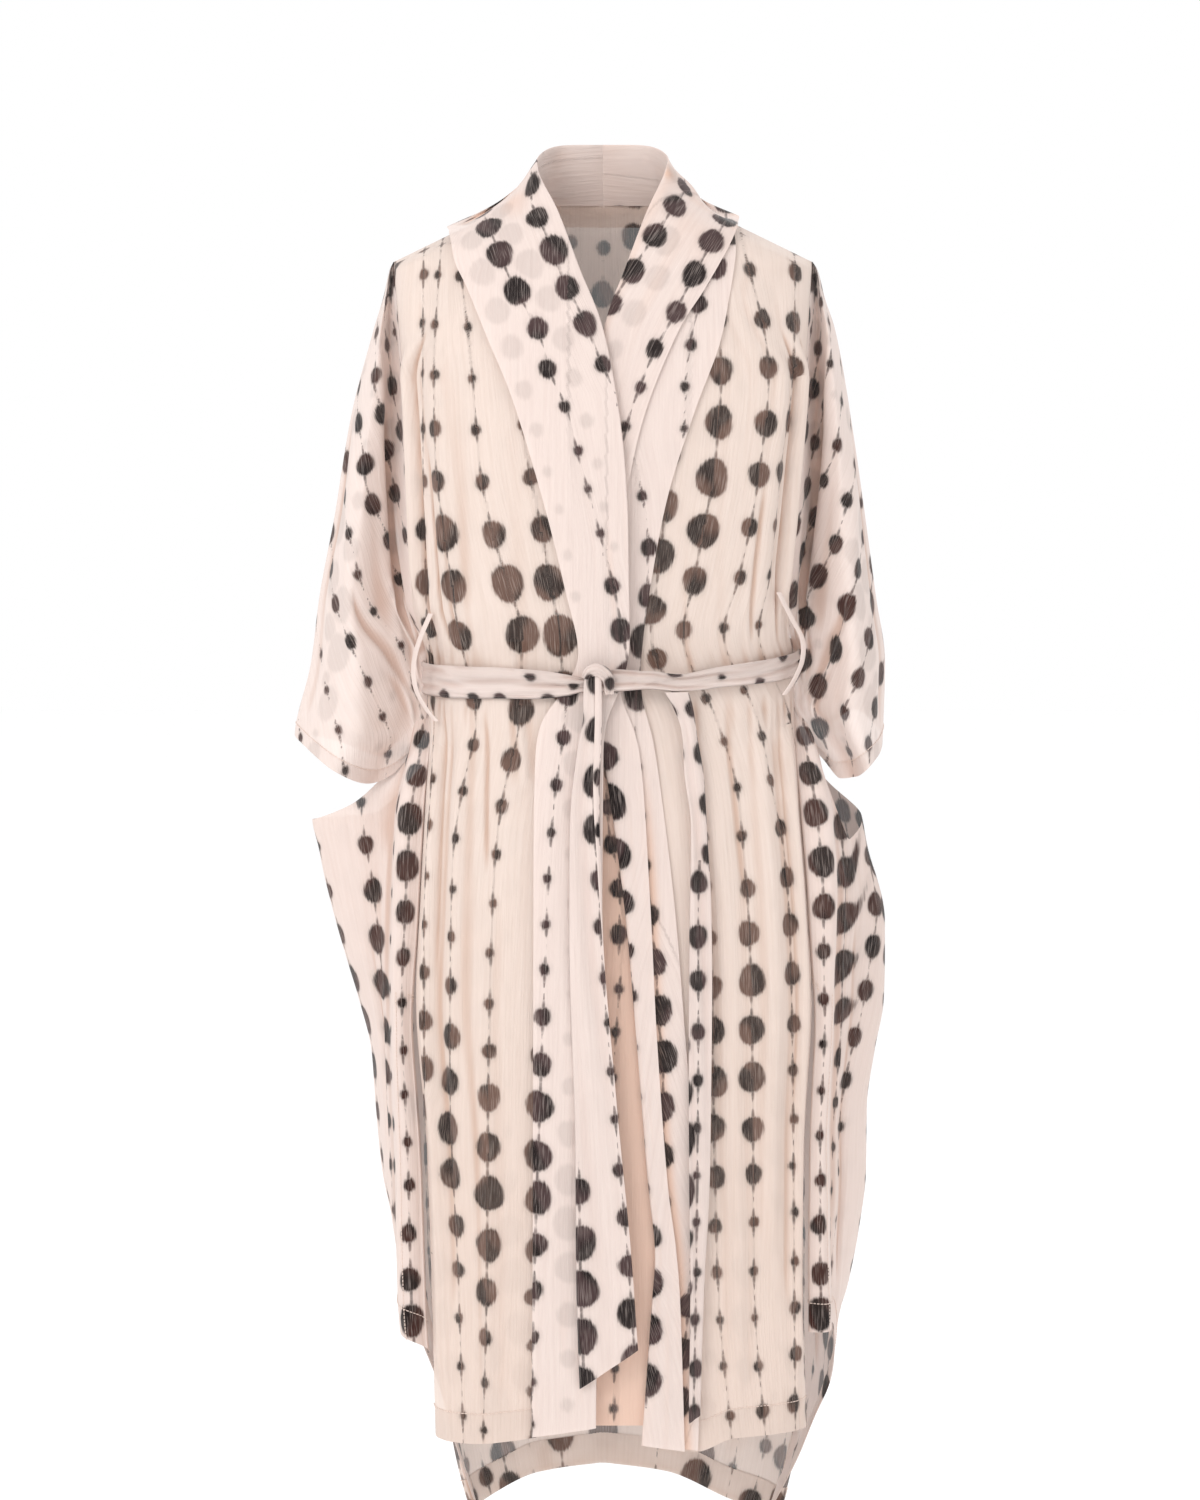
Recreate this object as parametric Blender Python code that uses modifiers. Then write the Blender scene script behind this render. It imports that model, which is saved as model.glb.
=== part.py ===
# Duster coat in metres, front towards -Y, origin at the centre of the neck opening.
# Heights are z, distances out from the middle of the coat are "out", worn depths are y.
import bpy
import numpy as np

# Driving sizes
WALL = 0.0012
BELT_WALL = 0.0020
SEAM_GAP = 0.0008
ROUNDNESS = 2.4
SHOULDER_NECK_OUT = 0.085
SHOULDER_TIP_OUT = 0.186
SHOULDER_NECK_Z = -0.012
SHOULDER_DROP = 0.049
SHOULDER_ENDS_Z = -0.200
LAP = 0.0090
BAND_UNDER = 0.0036
BAND_OVER = 0.0066
BELT_HEIGHT = 0.030
BELT_OFF = 0.0045
SIDES = {"right": -1.0, "left": 1.0}


def table(columns, rows):
    """A table of rows as one array per named column."""
    return dict(zip(columns.split(), np.array(rows, float).T))


# Depth of the worn coat at the middle of the front and back
DEPTH = table("z front back", [
    (0.031, 0.046, 0.060),
    (-0.012, 0.060, 0.075),
    (-0.060, 0.080, 0.090),
    (-0.120, 0.100, 0.102),
    (-0.200, 0.120, 0.108),
    (-0.270, 0.125, 0.108),
    (-0.350, 0.121, 0.103),
    (-0.410, 0.115, 0.097),
    (-0.430, 0.1145, 0.096),
    (-0.460, 0.118, 0.100),
    (-0.550, 0.130, 0.116),
    (-0.700, 0.138, 0.126),
    (-0.900, 0.141, 0.132),
    (-1.100, 0.141, 0.134),
    (-1.240, 0.141, 0.132),
])

# Side edge of the fronts: shoulder, armhole, waist, side seam, vent
FRONT_EDGE = table("z right left y", [
    (0.031, 0.056, 0.056, -0.0006),
    (-0.012, 0.085, 0.085, -0.0006),
    (-0.061, 0.185, 0.186, -0.0006),
    (-0.094, 0.183, 0.183, -0.028),
    (-0.180, 0.176, 0.178, -0.045),
    (-0.270, 0.173, 0.171, -0.050),
    (-0.360, 0.169, 0.165, -0.050),
    (-0.390, 0.161, 0.166, -0.036),
    (-0.412, 0.157, 0.170, -0.012),
    (-0.450, 0.156, 0.171, -0.012),
    (-0.480, 0.154, 0.171, -0.040),
    (-0.530, 0.157, 0.174, -0.080),
    (-0.620, 0.162, 0.181, -0.090),
    (-0.710, 0.166, 0.185, -0.095),
    (-0.840, 0.157, 0.179, -0.095),
    (-0.940, 0.154, 0.178, -0.094),
    (-1.110, 0.150, 0.183, -0.090),
])

# Side edge of the back
BACK_EDGE = table("z right left y", [
    (0.031, 0.056, 0.056, 0.0006),
    (-0.012, 0.085, 0.085, 0.0006),
    (-0.061, 0.185, 0.186, 0.0006),
    (-0.094, 0.183, 0.183, 0.030),
    (-0.180, 0.176, 0.178, 0.048),
    (-0.270, 0.173, 0.171, 0.054),
    (-0.360, 0.169, 0.165, 0.052),
    (-0.390, 0.161, 0.166, 0.038),
    (-0.412, 0.157, 0.170, 0.013),
    (-0.450, 0.156, 0.171, 0.013),
    (-0.480, 0.154, 0.171, 0.040),
    (-0.530, 0.159, 0.174, 0.072),
    (-0.620, 0.164, 0.180, 0.082),
    (-0.710, 0.166, 0.183, 0.086),
    (-0.840, 0.166, 0.185, 0.088),
    (-0.985, 0.163, 0.188, 0.088),
    (-1.074, 0.150, 0.188, 0.088),
    (-1.145, 0.138, 0.178, 0.088),
    (-1.240, 0.112, 0.150, 0.086),
])

# Inner edge of the fronts, hidden under the bands; below zero is past the middle
FRONT_INNER = table("z right left", [
    (-0.012, 0.085, 0.085),
    (-0.032, 0.060, 0.059),
    (-0.066, 0.038, 0.036),
    (-0.117, 0.017, 0.016),
    (-0.194, 0.002, 0.003),
    (-0.260, -0.004, -0.005),
    (-0.390, -0.006, -0.008),
    (-0.430, 0.004, 0.001),
    (-0.460, 0.016, 0.009),
    (-0.550, 0.019, 0.023),
    (-0.615, 0.020, 0.030),
    (-0.700, 0.021, 0.037),
    (-0.790, 0.022, 0.044),
    (-0.860, 0.022, 0.051),
    (-0.935, 0.023, 0.057),
    (-1.110, 0.026, 0.049),
])

# Height of the hems by distance out
FRONT_HEM = table("out right left", [
    (0.000, -1.086, -1.100),
    (0.035, -1.090, -1.105),
    (0.083, -1.099, -1.110),
    (0.117, -1.104, -1.099),
    (0.185, -1.106, -1.097),
])
BACK_HEM = table("out z", [
    (0.000, -1.190),
    (0.060, -1.198),
    (0.120, -1.222),
    (0.160, -1.232),
])

# Sleeve: tip of the lobe, valley beside the armhole, front of the lobe
SLEEVE = table("z right left valley_out valley_y lobe_y", [
    (-0.062, 0.188, 0.189, 0.001, -0.003, -0.005),
    (-0.094, 0.196, 0.198, 0.006, -0.014, -0.024),
    (-0.120, 0.2035, 0.2068, 0.009, -0.018, -0.036),
    (-0.200, 0.2245, 0.2224, 0.013, -0.020, -0.048),
    (-0.290, 0.240, 0.237, 0.016, -0.021, -0.055),
    (-0.360, 0.254, 0.2475, 0.018, -0.024, -0.060),
    (-0.420, 0.262, 0.256, 0.020, -0.032, -0.064),
    (-0.485, 0.277, 0.2545, 0.022, -0.036, -0.066),
    (-0.530, 0.279, 0.250, 0.024, -0.038, -0.066),
])
# Where the sleeve hangs free of the armhole, outside the belt
SLEEVE_ROOT = table("z right left y", [
    (-0.415, 0.170, 0.186, -0.026),
    (-0.530, 0.172, 0.188, -0.030),
])
# Top and hem of the sleeve along its width, front armhole to back armhole
SLEEVE_ENDS = table("along top right_hem left_hem", [
    (0.000, -0.068, -0.402, -0.388),
    (0.080, -0.067, -0.455, -0.440),
    (0.180, -0.066, -0.520, -0.500),
    (0.330, -0.064, -0.508, -0.512),
    (0.500, -0.063, -0.485, -0.494),
    (0.670, -0.064, -0.500, -0.470),
    (0.820, -0.066, -0.510, -0.480),
    (0.920, -0.067, -0.455, -0.440),
    (1.000, -0.068, -0.402, -0.388),
])

# Side drape: its outer fold, the ridge beside the seam and how far the vent stands open
SIDE = table("z right left ridge_right ridge_left vent", [
    (-0.440, 0.240, 0.200, 0.008, 0.010, 0.0),
    (-0.500, 0.262, 0.210, 0.016, 0.020, 0.0),
    (-0.560, 0.262, 0.222, 0.023, 0.031, 0.0),
    (-0.590, 0.255, 0.231, 0.023, 0.032, 0.0),
    (-0.655, 0.239, 0.252, 0.022, 0.028, 0.0),
    (-0.690, 0.229, 0.252, 0.020, 0.018, 0.001),
    (-0.727, 0.218, 0.251, 0.017, 0.016, 0.003),
    (-0.773, 0.207, 0.243, 0.019, 0.016, 0.004),
    (-0.828, 0.203, 0.236, 0.021, 0.016, 0.005),
    (-0.883, 0.198, 0.236, 0.022, 0.018, 0.005),
    (-0.940, 0.187, 0.230, 0.023, 0.019, 0.005),
    (-0.985, 0.181, 0.222, 0.023, 0.020, 0.005),
    (-1.030, 0.172, 0.212, 0.022, 0.020, 0.004),
    (-1.086, 0.158, 0.206, 0.020, 0.018, 0.004),
    (-1.145, 0.148, 0.190, 0.018, 0.016, 0.004),
    (-1.240, 0.120, 0.160, 0.016, 0.014, 0.004),
])
# Top and hem of the side drape along its width, front seam to back seam
SIDE_ENDS = table("along right_top left_top right_hem left_hem", [
    (0.000, -0.458, -0.440, -1.031, -1.010),
    (0.143, -0.470, -0.455, -1.024, -1.010),
    (0.286, -0.492, -0.480, -1.014, -1.010),
    (0.429, -0.522, -0.530, -1.012, -1.015),
    (0.571, -0.545, -0.578, -1.016, -1.035),
    (0.714, -0.562, -0.589, -1.036, -1.100),
    (0.857, -0.535, -0.538, -1.110, -1.170),
    (1.000, -0.458, -0.440, -1.228, -1.230),
])

# Band round the back neck, middle to shoulder, as out, y, z: the seam, the roll (top fold) and
# the free edge, with the points that each layer leans towards between them
NECK_SEAM = [(0.0006, 0.0765, -0.0085), (0.0610, 0.0550, -0.0085), (0.0860, 0.000, -0.0085)]
NECK_UNDER = [(0.0006, 0.0700, 0.012), (0.0440, 0.0500, 0.002), (0.0573, 0.003, 0.0008)]
NECK_ROLL = [(0.0006, 0.0660, 0.040), (0.0400, 0.0510, 0.039), (0.0560, 0.004, 0.031)]
NECK_OVER = [(0.0006, 0.0800, 0.014), (0.0520, 0.0640, 0.004), (0.0620, 0.002, -0.001)]
NECK_FALL = [(0.0006, 0.0965, -0.034), (0.0830, 0.0830, -0.033), (0.1320, 0.001, -0.0295)]
LEFT_NECK_FALL = (0.1155, 0.001, -0.0205)

# Band down the fronts: out and height of roll, seam and free edge
RIGHT_BAND = table("roll_out roll_z seam_out seam_z fall_out fall_z", [
    (0.0540, 0.020, 0.087, -0.016, 0.1325, -0.0375),
    (0.0500, 0.008, 0.088, -0.026, 0.1315, -0.0460),
    (0.038, -0.018, 0.090, -0.050, 0.127, -0.062),
    (0.020, -0.066, 0.086, -0.090, 0.117, -0.084),
    (0.000, -0.117, 0.076, -0.140, 0.099, -0.127),
    (-0.0147, -0.194, 0.062, -0.203, 0.077, -0.180),
    (-0.0208, -0.2635, 0.043, -0.270, 0.051, -0.266),
    (-0.0222, -0.330, 0.026, -0.340, 0.033, -0.340),
    (-0.0226, -0.395, 0.016, -0.397, 0.0215, -0.397),
    (-0.0140, -0.430, 0.030, -0.430, 0.0345, -0.430),
    (-0.0020, -0.465, 0.050, -0.465, 0.0545, -0.465),
    (0.0000, -0.520, 0.055, -0.520, 0.0595, -0.520),
    (0.0010, -0.650, 0.056, -0.650, 0.0605, -0.650),
    (0.0030, -0.800, 0.0565, -0.800, 0.061, -0.800),
    (0.0050, -0.950, 0.057, -0.950, 0.0615, -0.950),
    (0.0062, -1.084, 0.058, -1.092, 0.0625, -1.093),
])
LEFT_BAND = table("roll_out roll_z seam_out seam_z fall_out fall_z", [
    (0.0520, 0.020, 0.101, -0.0225, 0.1155, -0.030),
    (0.0480, 0.008, 0.112, -0.0320, 0.1145, -0.038),
    (0.037, -0.018, 0.1155, -0.052, 0.107, -0.052),
    (0.019, -0.066, 0.109, -0.094, 0.088, -0.084),
    (0.0017, -0.113, 0.100, -0.134, 0.064, -0.122),
    (-0.012, -0.190, 0.080, -0.186, 0.036, -0.190),
    (-0.020, -0.260, 0.057, -0.257, 0.021, -0.258),
    (-0.023, -0.330, 0.043, -0.328, 0.015, -0.330),
    (-0.023, -0.395, 0.034, -0.395, 0.014, -0.395),
    (-0.014, -0.437, 0.034, -0.437, 0.016, -0.437),
    (0.000, -0.490, 0.046, -0.490, 0.032, -0.490),
    (0.018, -0.615, 0.062, -0.615, 0.041, -0.615),
    (0.029, -0.735, 0.072, -0.735, 0.047, -0.735),
    (0.039, -0.860, 0.082, -0.860, 0.056, -0.860),
    (0.0455, -0.925, 0.087, -0.925, 0.064, -0.925),
    (0.0425, -0.980, 0.087, -0.980, 0.068, -0.980),
    (0.034, -1.102, 0.084, -1.108, 0.072, -1.108),
])

# Largest folds: place across the panel at top and foot, heights, depth out, width
FOLD_COLUMNS = "top_at foot_at top_z foot_z depth width"
RIGHT_FRONT_FOLDS = table(FOLD_COLUMNS, [
    (0.86, 0.80, -0.080, -0.335, 0.007, 0.07),
    (0.62, 0.52, -0.110, -0.335, 0.005, 0.07),
    (0.74, 0.66, -0.100, -0.335, -0.004, 0.06),
    (0.55, 0.50, -0.450, -0.900, 0.008, 0.07),
    (0.76, 0.74, -0.460, -1.080, 0.010, 0.07),
    (0.65, 0.62, -0.450, -1.000, -0.006, 0.06),
    (0.36, 0.38, -0.600, -1.100, 0.004, 0.07),
])
LEFT_FRONT_FOLDS = table(FOLD_COLUMNS, [
    (0.86, 0.82, -0.080, -0.335, 0.007, 0.07),
    (0.66, 0.60, -0.110, -0.335, 0.005, 0.07),
    (0.76, 0.71, -0.100, -0.335, -0.004, 0.06),
    (0.56, 0.52, -0.450, -0.950, 0.008, 0.07),
    (0.78, 0.78, -0.460, -1.080, 0.010, 0.07),
    (0.67, 0.66, -0.450, -1.000, -0.006, 0.06),
])
BACK_FOLDS = table(FOLD_COLUMNS, [
    (0.14, 0.20, -0.090, -0.335, 0.006, 0.045),
    (0.30, 0.34, -0.140, -0.335, 0.005, 0.045),
    (0.50, 0.50, -0.180, -0.335, -0.004, 0.060),
    (0.71, 0.66, -0.140, -0.335, 0.005, 0.045),
    (0.86, 0.80, -0.090, -0.335, 0.006, 0.045),
    (0.24, 0.22, -0.455, -1.150, 0.013, 0.045),
    (0.38, 0.36, -0.450, -1.190, 0.012, 0.045),
    (0.51, 0.52, -0.450, -1.190, 0.012, 0.050),
    (0.64, 0.66, -0.450, -1.190, 0.012, 0.045),
    (0.77, 0.79, -0.455, -1.150, 0.013, 0.045),
])

# Belt: height of its middle, and how far it stands off the coat, by place across
BELT = table("x z off", [
    (-0.170, -0.4335, 0.0120),
    (-0.120, -0.4320, 0.0130),
    (-0.060, -0.4290, 0.0182),
    (-0.025, -0.4260, 0.0185),
    (0.030, -0.4265, 0.0185),
    (0.060, -0.4290, 0.0130),
    (0.110, -0.4260, 0.0065),
    (0.180, -0.4140, 0.0040),
])
# Tails: middle, width, stand-off from the coat
RIGHT_TAIL = table("z x width off", [
    (-0.4456, -0.0078, 0.012, 0.0168),
    (-0.480, -0.0120, 0.019, 0.0140),
    (-0.540, -0.0165, 0.024, 0.0120),
    (-0.640, -0.0150, 0.029, 0.0110),
    (-0.800, -0.0065, 0.036, 0.0110),
    (-0.950, 0.0010, 0.048, 0.0110),
    (-1.030, 0.0050, 0.051, 0.0110),
])
LEFT_TAIL = table("z x width off", [
    (-0.446, 0.0730, 0.012, 0.0120),
    (-0.480, 0.0760, 0.015, 0.0110),
    (-0.560, 0.0830, 0.017, 0.0105),
    (-0.700, 0.0840, 0.019, 0.0105),
    (-0.850, 0.0840, 0.018, 0.0105),
    (-0.970, 0.0820, 0.012, 0.0105),
    (-1.078, 0.0800, 0.010, 0.0105),
])
RIGHT_TAIL_SLANT = 0.035
LEFT_TAIL_SLANT = 0.008
# Knot: height, middle, half width, half depth of each section of the strap over the belt
KNOT = table("z x half_width half_depth", [
    (-0.4075, -0.0080, 0.0060, 0.0020),
    (-0.4110, -0.0082, 0.0078, 0.0042),
    (-0.4200, -0.0084, 0.0088, 0.0058),
    (-0.4300, -0.0082, 0.0086, 0.0058),
    (-0.4390, -0.0080, 0.0076, 0.0044),
    (-0.4430, -0.0078, 0.0060, 0.0022),
])
KNOT_OFF = 0.0168
# Belt loops: a thin strip standing off the side waist, as out, y, z
LOOP_WIDTH = 0.006
RIGHT_LOOP = [(0.1500, -0.0950, -0.366), (0.1600, -0.0880, -0.390), (0.1655, -0.0790, -0.412),
              (0.1640, -0.0770, -0.434), (0.1550, -0.0770, -0.452), (0.1460, -0.0780, -0.463)]
LEFT_LOOP = [(0.1520, -0.0879, -0.360), (0.1650, -0.0800, -0.384), (0.1755, -0.0740, -0.402),
             (0.1760, -0.0720, -0.420), (0.1680, -0.0720, -0.438), (0.1590, -0.0740, -0.450)]

# Rows of the panels by height at the neck side
FRONT_ROWS = [-0.012, -0.019, -0.030, -0.045, -0.070, -0.100, -0.135, -0.170, -0.205, -0.245, -0.290,
              -0.335, -0.370, -0.395, -0.412, -0.431, -0.450, -0.480, -0.520, -0.580, -0.660, -0.750,
              -0.850, -0.960, -1.050, -1.100]
BACK_ROWS = [-0.012, -0.026, -0.045, -0.070, -0.105, -0.150, -0.200, -0.260, -0.320, -0.365, -0.395,
             -0.412, -0.431, -0.450, -0.480, -0.530, -0.610, -0.710, -0.820, -0.930, -1.030, -1.120,
             -1.200]
FRONT_COLUMNS = 16
BACK_COLUMNS = 23
SLEEVE_GRID = (13, 19)
SIDE_GRID = (15, 20)
BAND_ROWS = 37
BELT_COLUMNS = 60


def slopes(xs, ys):
    """Slopes at the rows of a table that keep the curve from overshooting."""
    steps = np.diff(ys) / np.diff(xs)
    inner = np.where(steps[:-1] * steps[1:] > 0.0,
                     2.0 * steps[:-1] * steps[1:] / (steps[:-1] + steps[1:] + 1e-30), 0.0)
    return np.concatenate([steps[:1], inner, steps[-1:]])


def at(rows, column, where, key="z"):
    """A column of a table, smoothly, at the given heights or places."""
    order = np.argsort(rows[key])
    xs = rows[key][order]
    ys = rows[column][order]
    tangent = slopes(xs, ys)
    x = np.clip(where, xs[0], xs[-1])
    cell = np.clip(np.searchsorted(xs, x, side="right") - 1, 0, len(xs) - 2)
    width = xs[cell + 1] - xs[cell]
    t = (x - xs[cell]) / width
    return ((2 * t**3 - 3 * t**2 + 1) * ys[cell] + (t**3 - 2 * t**2 + t) * width * tangent[cell]
            + (3 * t**2 - 2 * t**3) * ys[cell + 1] + (t**3 - t**2) * width * tangent[cell + 1])


def ease(start, end, where):
    """Zero at start, one at end, with soft shoulders."""
    t = np.clip((where - start) / (end - start), 0.0, 1.0)
    return t * t * (3.0 - 2.0 * t)


def spline(points, along):
    """Points on a smooth curve through the given points, along running from 0 to 1."""
    points = np.asarray(points, float)
    padded = np.vstack([2 * points[0] - points[1], points, 2 * points[-1] - points[-2]])
    place = np.clip(np.asarray(along, float) * (len(points) - 1), 0.0, len(points) - 1 - 1e-9)
    cell = place.astype(int)
    t = (place - cell)[:, None]
    a, b, c, d = (padded[cell + k] for k in range(4))
    return 0.5 * (2 * b + (c - a) * t + (2 * a - 5 * b + 4 * c - d) * t**2
                  + (3 * b - a - 3 * c + d) * t**3)


def arch(out, edge_out, edge_y, depth):
    """Depth of a rounded panel between its middle and its side edge."""
    share = np.clip(1.0 - np.abs(out / edge_out) ** ROUNDNESS, 0.0, 1.0)
    return edge_y + (depth - edge_y) * share ** (1.0 / ROUNDNESS)


def front_y(out, z, side):
    """Depth of a front panel, without its folds."""
    lap = LAP if side == "right" else 0.0
    return arch(out, at(FRONT_EDGE, side, z), at(FRONT_EDGE, "y", z), -at(DEPTH, "front", z) - lap)


def back_y(x, z):
    """Depth of the back panel, without its folds."""
    edge = np.where(x < 0.0, at(BACK_EDGE, "right", z), at(BACK_EDGE, "left", z))
    return arch(x, edge, at(BACK_EDGE, "y", z), at(DEPTH, "back", z))


def on_front(out, z, side, off):
    """Points lying off a front panel by the given distances."""
    step = 0.002
    across = (front_y(out + step, z, side) - front_y(out - step, z, side)) / (2 * step)
    down = (front_y(out, z + step, side) - front_y(out, z - step, side)) / (2 * step)
    across = np.clip(across, -2.0, 2.0)
    down = np.clip(down, -2.0, 2.0)
    length = np.sqrt(across**2 + down**2 + 1.0)
    moved_out = out + off * across / length
    return np.stack([SIDES[side] * moved_out, front_y(out, z, side) - off / length,
                     z + off * down / length], axis=-1)


def fold_depths(folds, across, z):
    """How far the folds move a row of points out."""
    depth = np.zeros_like(across)
    for k in range(len(folds["depth"])):
        top, foot = folds["top_z"][k], folds["foot_z"][k]
        share = np.clip((top - z) / (top - foot), 0.0, 1.0)
        middle = folds["top_at"][k] + (folds["foot_at"][k] - folds["top_at"][k]) * share
        run_in = ease(top, top - 0.06, z)
        run_out = 1.0 - ease(foot, foot - 0.06, z)
        crest = np.exp(-((across - middle) / folds["width"][k]) ** 2)
        depth += folds["depth"][k] * run_in * run_out * crest
    return depth


def moved_out(row, depth, toward):
    """A row of points moved square to itself in plan, toward +1 or -1 in y at the middle."""
    tangent = np.gradient(row[:, :2], axis=0)
    tangent /= np.linalg.norm(tangent, axis=1)[:, None] + 1e-12
    normal = np.stack([tangent[:, 1], -tangent[:, 0]], axis=1)
    if normal[:, 1].sum() * toward < 0.0:
        normal = -normal
    moved = row.copy()
    moved[:, :2] += depth[:, None] * normal
    return moved


def shoulder_z(neck_z, out):
    """Height along a row that starts as the shoulder slope and levels out at the chest."""
    drop = SHOULDER_DROP * (1.0 - ease(SHOULDER_NECK_Z, SHOULDER_ENDS_Z, neck_z))
    share = (np.abs(out) - SHOULDER_NECK_OUT) / (SHOULDER_TIP_OUT - SHOULDER_NECK_OUT)
    return neck_z - drop * np.clip(share, 0.0, 1.0)


def row_places(inner, edge, across, neck_z):
    """Distances out along a row: even at the shoulder, closer together at the side below it."""
    power = ROUNDNESS / 2.0
    start = np.arcsin(np.sign(inner) * np.abs(inner / edge) ** power)
    turn = np.sin(start + across * (np.pi / 2.0 - start))
    rounded = edge * np.sign(turn) * np.abs(turn) ** (1.0 / power)
    even = inner + across * (edge - inner)
    return even + (rounded - even) * ease(-0.060, -0.160, neck_z)


def front_grid(side, folds):
    """Points of a front panel, shoulder to hem."""
    across = np.linspace(0.0, 1.0, FRONT_COLUMNS)
    rows = []
    for neck_z in FRONT_ROWS:
        edge_z = shoulder_z(neck_z, SHOULDER_TIP_OUT)
        out = row_places(at(FRONT_INNER, side, neck_z), at(FRONT_EDGE, side, edge_z), across, neck_z)
        z = shoulder_z(neck_z, out)
        hem = at(FRONT_HEM, side, np.clip(out, 0.0, 1.0), "out") - FRONT_ROWS[-1]
        z = z + hem * ease(-0.900, FRONT_ROWS[-1], neck_z)
        row = np.stack([SIDES[side] * out, front_y(out, z, side), z], axis=1)
        rows.append(moved_out(row, fold_depths(folds, across, neck_z), -1.0))
    rows[0][:, 1] = FRONT_EDGE["y"][0]
    return np.array(rows)


def back_grid():
    """Points of the back panel, shoulders and neck to hem."""
    half = np.linspace(0.0, 1.0, BACK_COLUMNS // 2 + 1)
    across = np.linspace(0.0, 1.0, BACK_COLUMNS)
    rows = []
    for neck_z in BACK_ROWS:
        edge_z = shoulder_z(neck_z, SHOULDER_TIP_OUT)
        right = row_places(0.0, at(BACK_EDGE, "right", edge_z), half, neck_z)
        left = row_places(0.0, at(BACK_EDGE, "left", edge_z), half, neck_z)
        x = np.concatenate([-right[::-1], left[1:]])
        z = shoulder_z(neck_z, x)
        hem = at(BACK_HEM, "z", np.abs(x), "out") - BACK_ROWS[-1]
        z = z + hem * ease(-0.950, BACK_ROWS[-1], neck_z)
        row = np.stack([x, back_y(x, z), z], axis=1)
        rows.append(moved_out(row, fold_depths(BACK_FOLDS, across, neck_z), 1.0))
    neck_depth = at(DEPTH, "back", SHOULDER_NECK_Z)
    rows[0][:, 1] = arch(rows[0][:, 0], SHOULDER_NECK_OUT, BACK_EDGE["y"][0], neck_depth)
    return np.array(rows)


def sleeve_ring(side, z):
    """Plan points of the sleeve at a height: armhole, valley, lobe, tip, lobe, valley, armhole."""
    free = ease(-0.385, -0.415, z)
    gap = SEAM_GAP + WALL / 2.0
    root_out = (1 - free) * at(FRONT_EDGE, side, z) + free * at(SLEEVE_ROOT, side, z)
    front_root = (1 - free) * (at(FRONT_EDGE, "y", z) + gap) + free * at(SLEEVE_ROOT, "y", z)
    back_root = (1 - free) * (at(BACK_EDGE, "y", z) - gap) - free * at(SLEEVE_ROOT, "y", z)
    tip = at(SLEEVE, side, z)
    valley = root_out + at(SLEEVE, "valley_out", z)
    lobe = valley + 0.55 * (tip - valley)
    valley_y, lobe_y = at(SLEEVE, "valley_y", z), at(SLEEVE, "lobe_y", z)
    return [(root_out + 0.001, front_root), (valley, valley_y), (lobe, lobe_y), (tip, 0.004),
            (lobe, -1.05 * lobe_y), (valley, -1.1 * valley_y), (root_out + 0.001, back_root)]


def side_ring(side, z):
    """Plan points of the side drape at a height: seam, ridge, valley, fold, back seam."""
    seam = at(FRONT_EDGE, side, z) + 0.0016 + at(SIDE, "vent", z)
    seam_y = at(FRONT_EDGE, "y", z)
    ridge = at(SIDE, "ridge_" + side, z)
    tip = at(SIDE, side, z)
    valley = seam + ridge + 0.004
    back_out = at(BACK_EDGE, side, z) + 0.0018
    back_edge = at(BACK_EDGE, "y", z)
    return [(seam, seam_y + 0.0015), (seam + 0.5 * ridge, seam_y - 0.5 * ridge),
            (seam + ridge, seam_y + 0.010), (valley, 0.45 * seam_y),
            (0.5 * (valley + tip), 0.30 * seam_y), (tip, 0.004),
            (0.5 * (back_out + tip), 0.55 * back_edge), (back_out, back_edge - 0.0012)]


def ring_grid(side, ring, ends, shape, top, hem):
    """Points of a hanging piece between its top and hem, through the ring at each height."""
    grid = np.zeros(shape + (3,))
    for j, along in enumerate(np.linspace(0.0, 1.0, shape[1])):
        top_z, hem_z = at(ends, top, along, "along"), at(ends, hem, along, "along")
        for i, share in enumerate(np.linspace(0.0, 1.0, shape[0])):
            z = top_z + (hem_z - top_z) * share
            out, y = spline(ring(side, z), [along])[0]
            grid[i, j] = SIDES[side] * out, y, z
    return grid


def lean(start, middle, end, share):
    """A point on the curve from start to end that leans towards the middle point."""
    start, middle, end = (np.array(p) for p in (start, middle, end))
    return (1 - share) ** 2 * start + 2 * share * (1 - share) * middle + share**2 * end


def neck_section(side, k):
    """Nine points across the band at the back neck: seam, up to the roll, down to the free edge."""
    fall = LEFT_NECK_FALL if side == "left" and k == 2 else NECK_FALL[k]
    rise = [lean(NECK_SEAM[k], NECK_UNDER[k], NECK_ROLL[k], t) for t in (0.0, 0.33, 0.66, 0.94)]
    drop = [lean(NECK_ROLL[k], NECK_OVER[k], fall, t) for t in (0.06, 0.34, 0.67, 1.0)]
    away = np.array([0.6, 0.2, 0.3]) if k == 2 else np.array([0.3 * k, 0.6, 0.3])
    drop = [point + 0.003 * away for point in drop]
    roll = np.array(NECK_ROLL[k]) + 0.0015 * away + np.array([0.0, 0.0, 0.0015])
    return np.array(rise + [roll] + drop) * np.array([SIDES[side], 1.0, 1.0])


def band_section(side, band, k):
    """Nine points across the folded band on a front panel: seam, roll, free edge."""
    def edge(name):
        return np.array([band[name + "_out"][k], band[name + "_z"][k]])
    seam, roll, fall = edge("seam"), edge("roll"), edge("fall")
    under = [seam + (roll - seam) * t for t in (0.0, 0.33, 0.66, 0.94)]
    over = [roll + (fall - roll) * t for t in (0.06, 0.34, 0.67, 1.0)]
    flat = np.array(under + [roll] + over)
    off = np.array([BAND_UNDER] * 4 + [(BAND_UNDER + BAND_OVER) / 2.0] + [BAND_OVER] * 4)
    return on_front(flat[:, 0], flat[:, 1], side, off)


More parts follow.
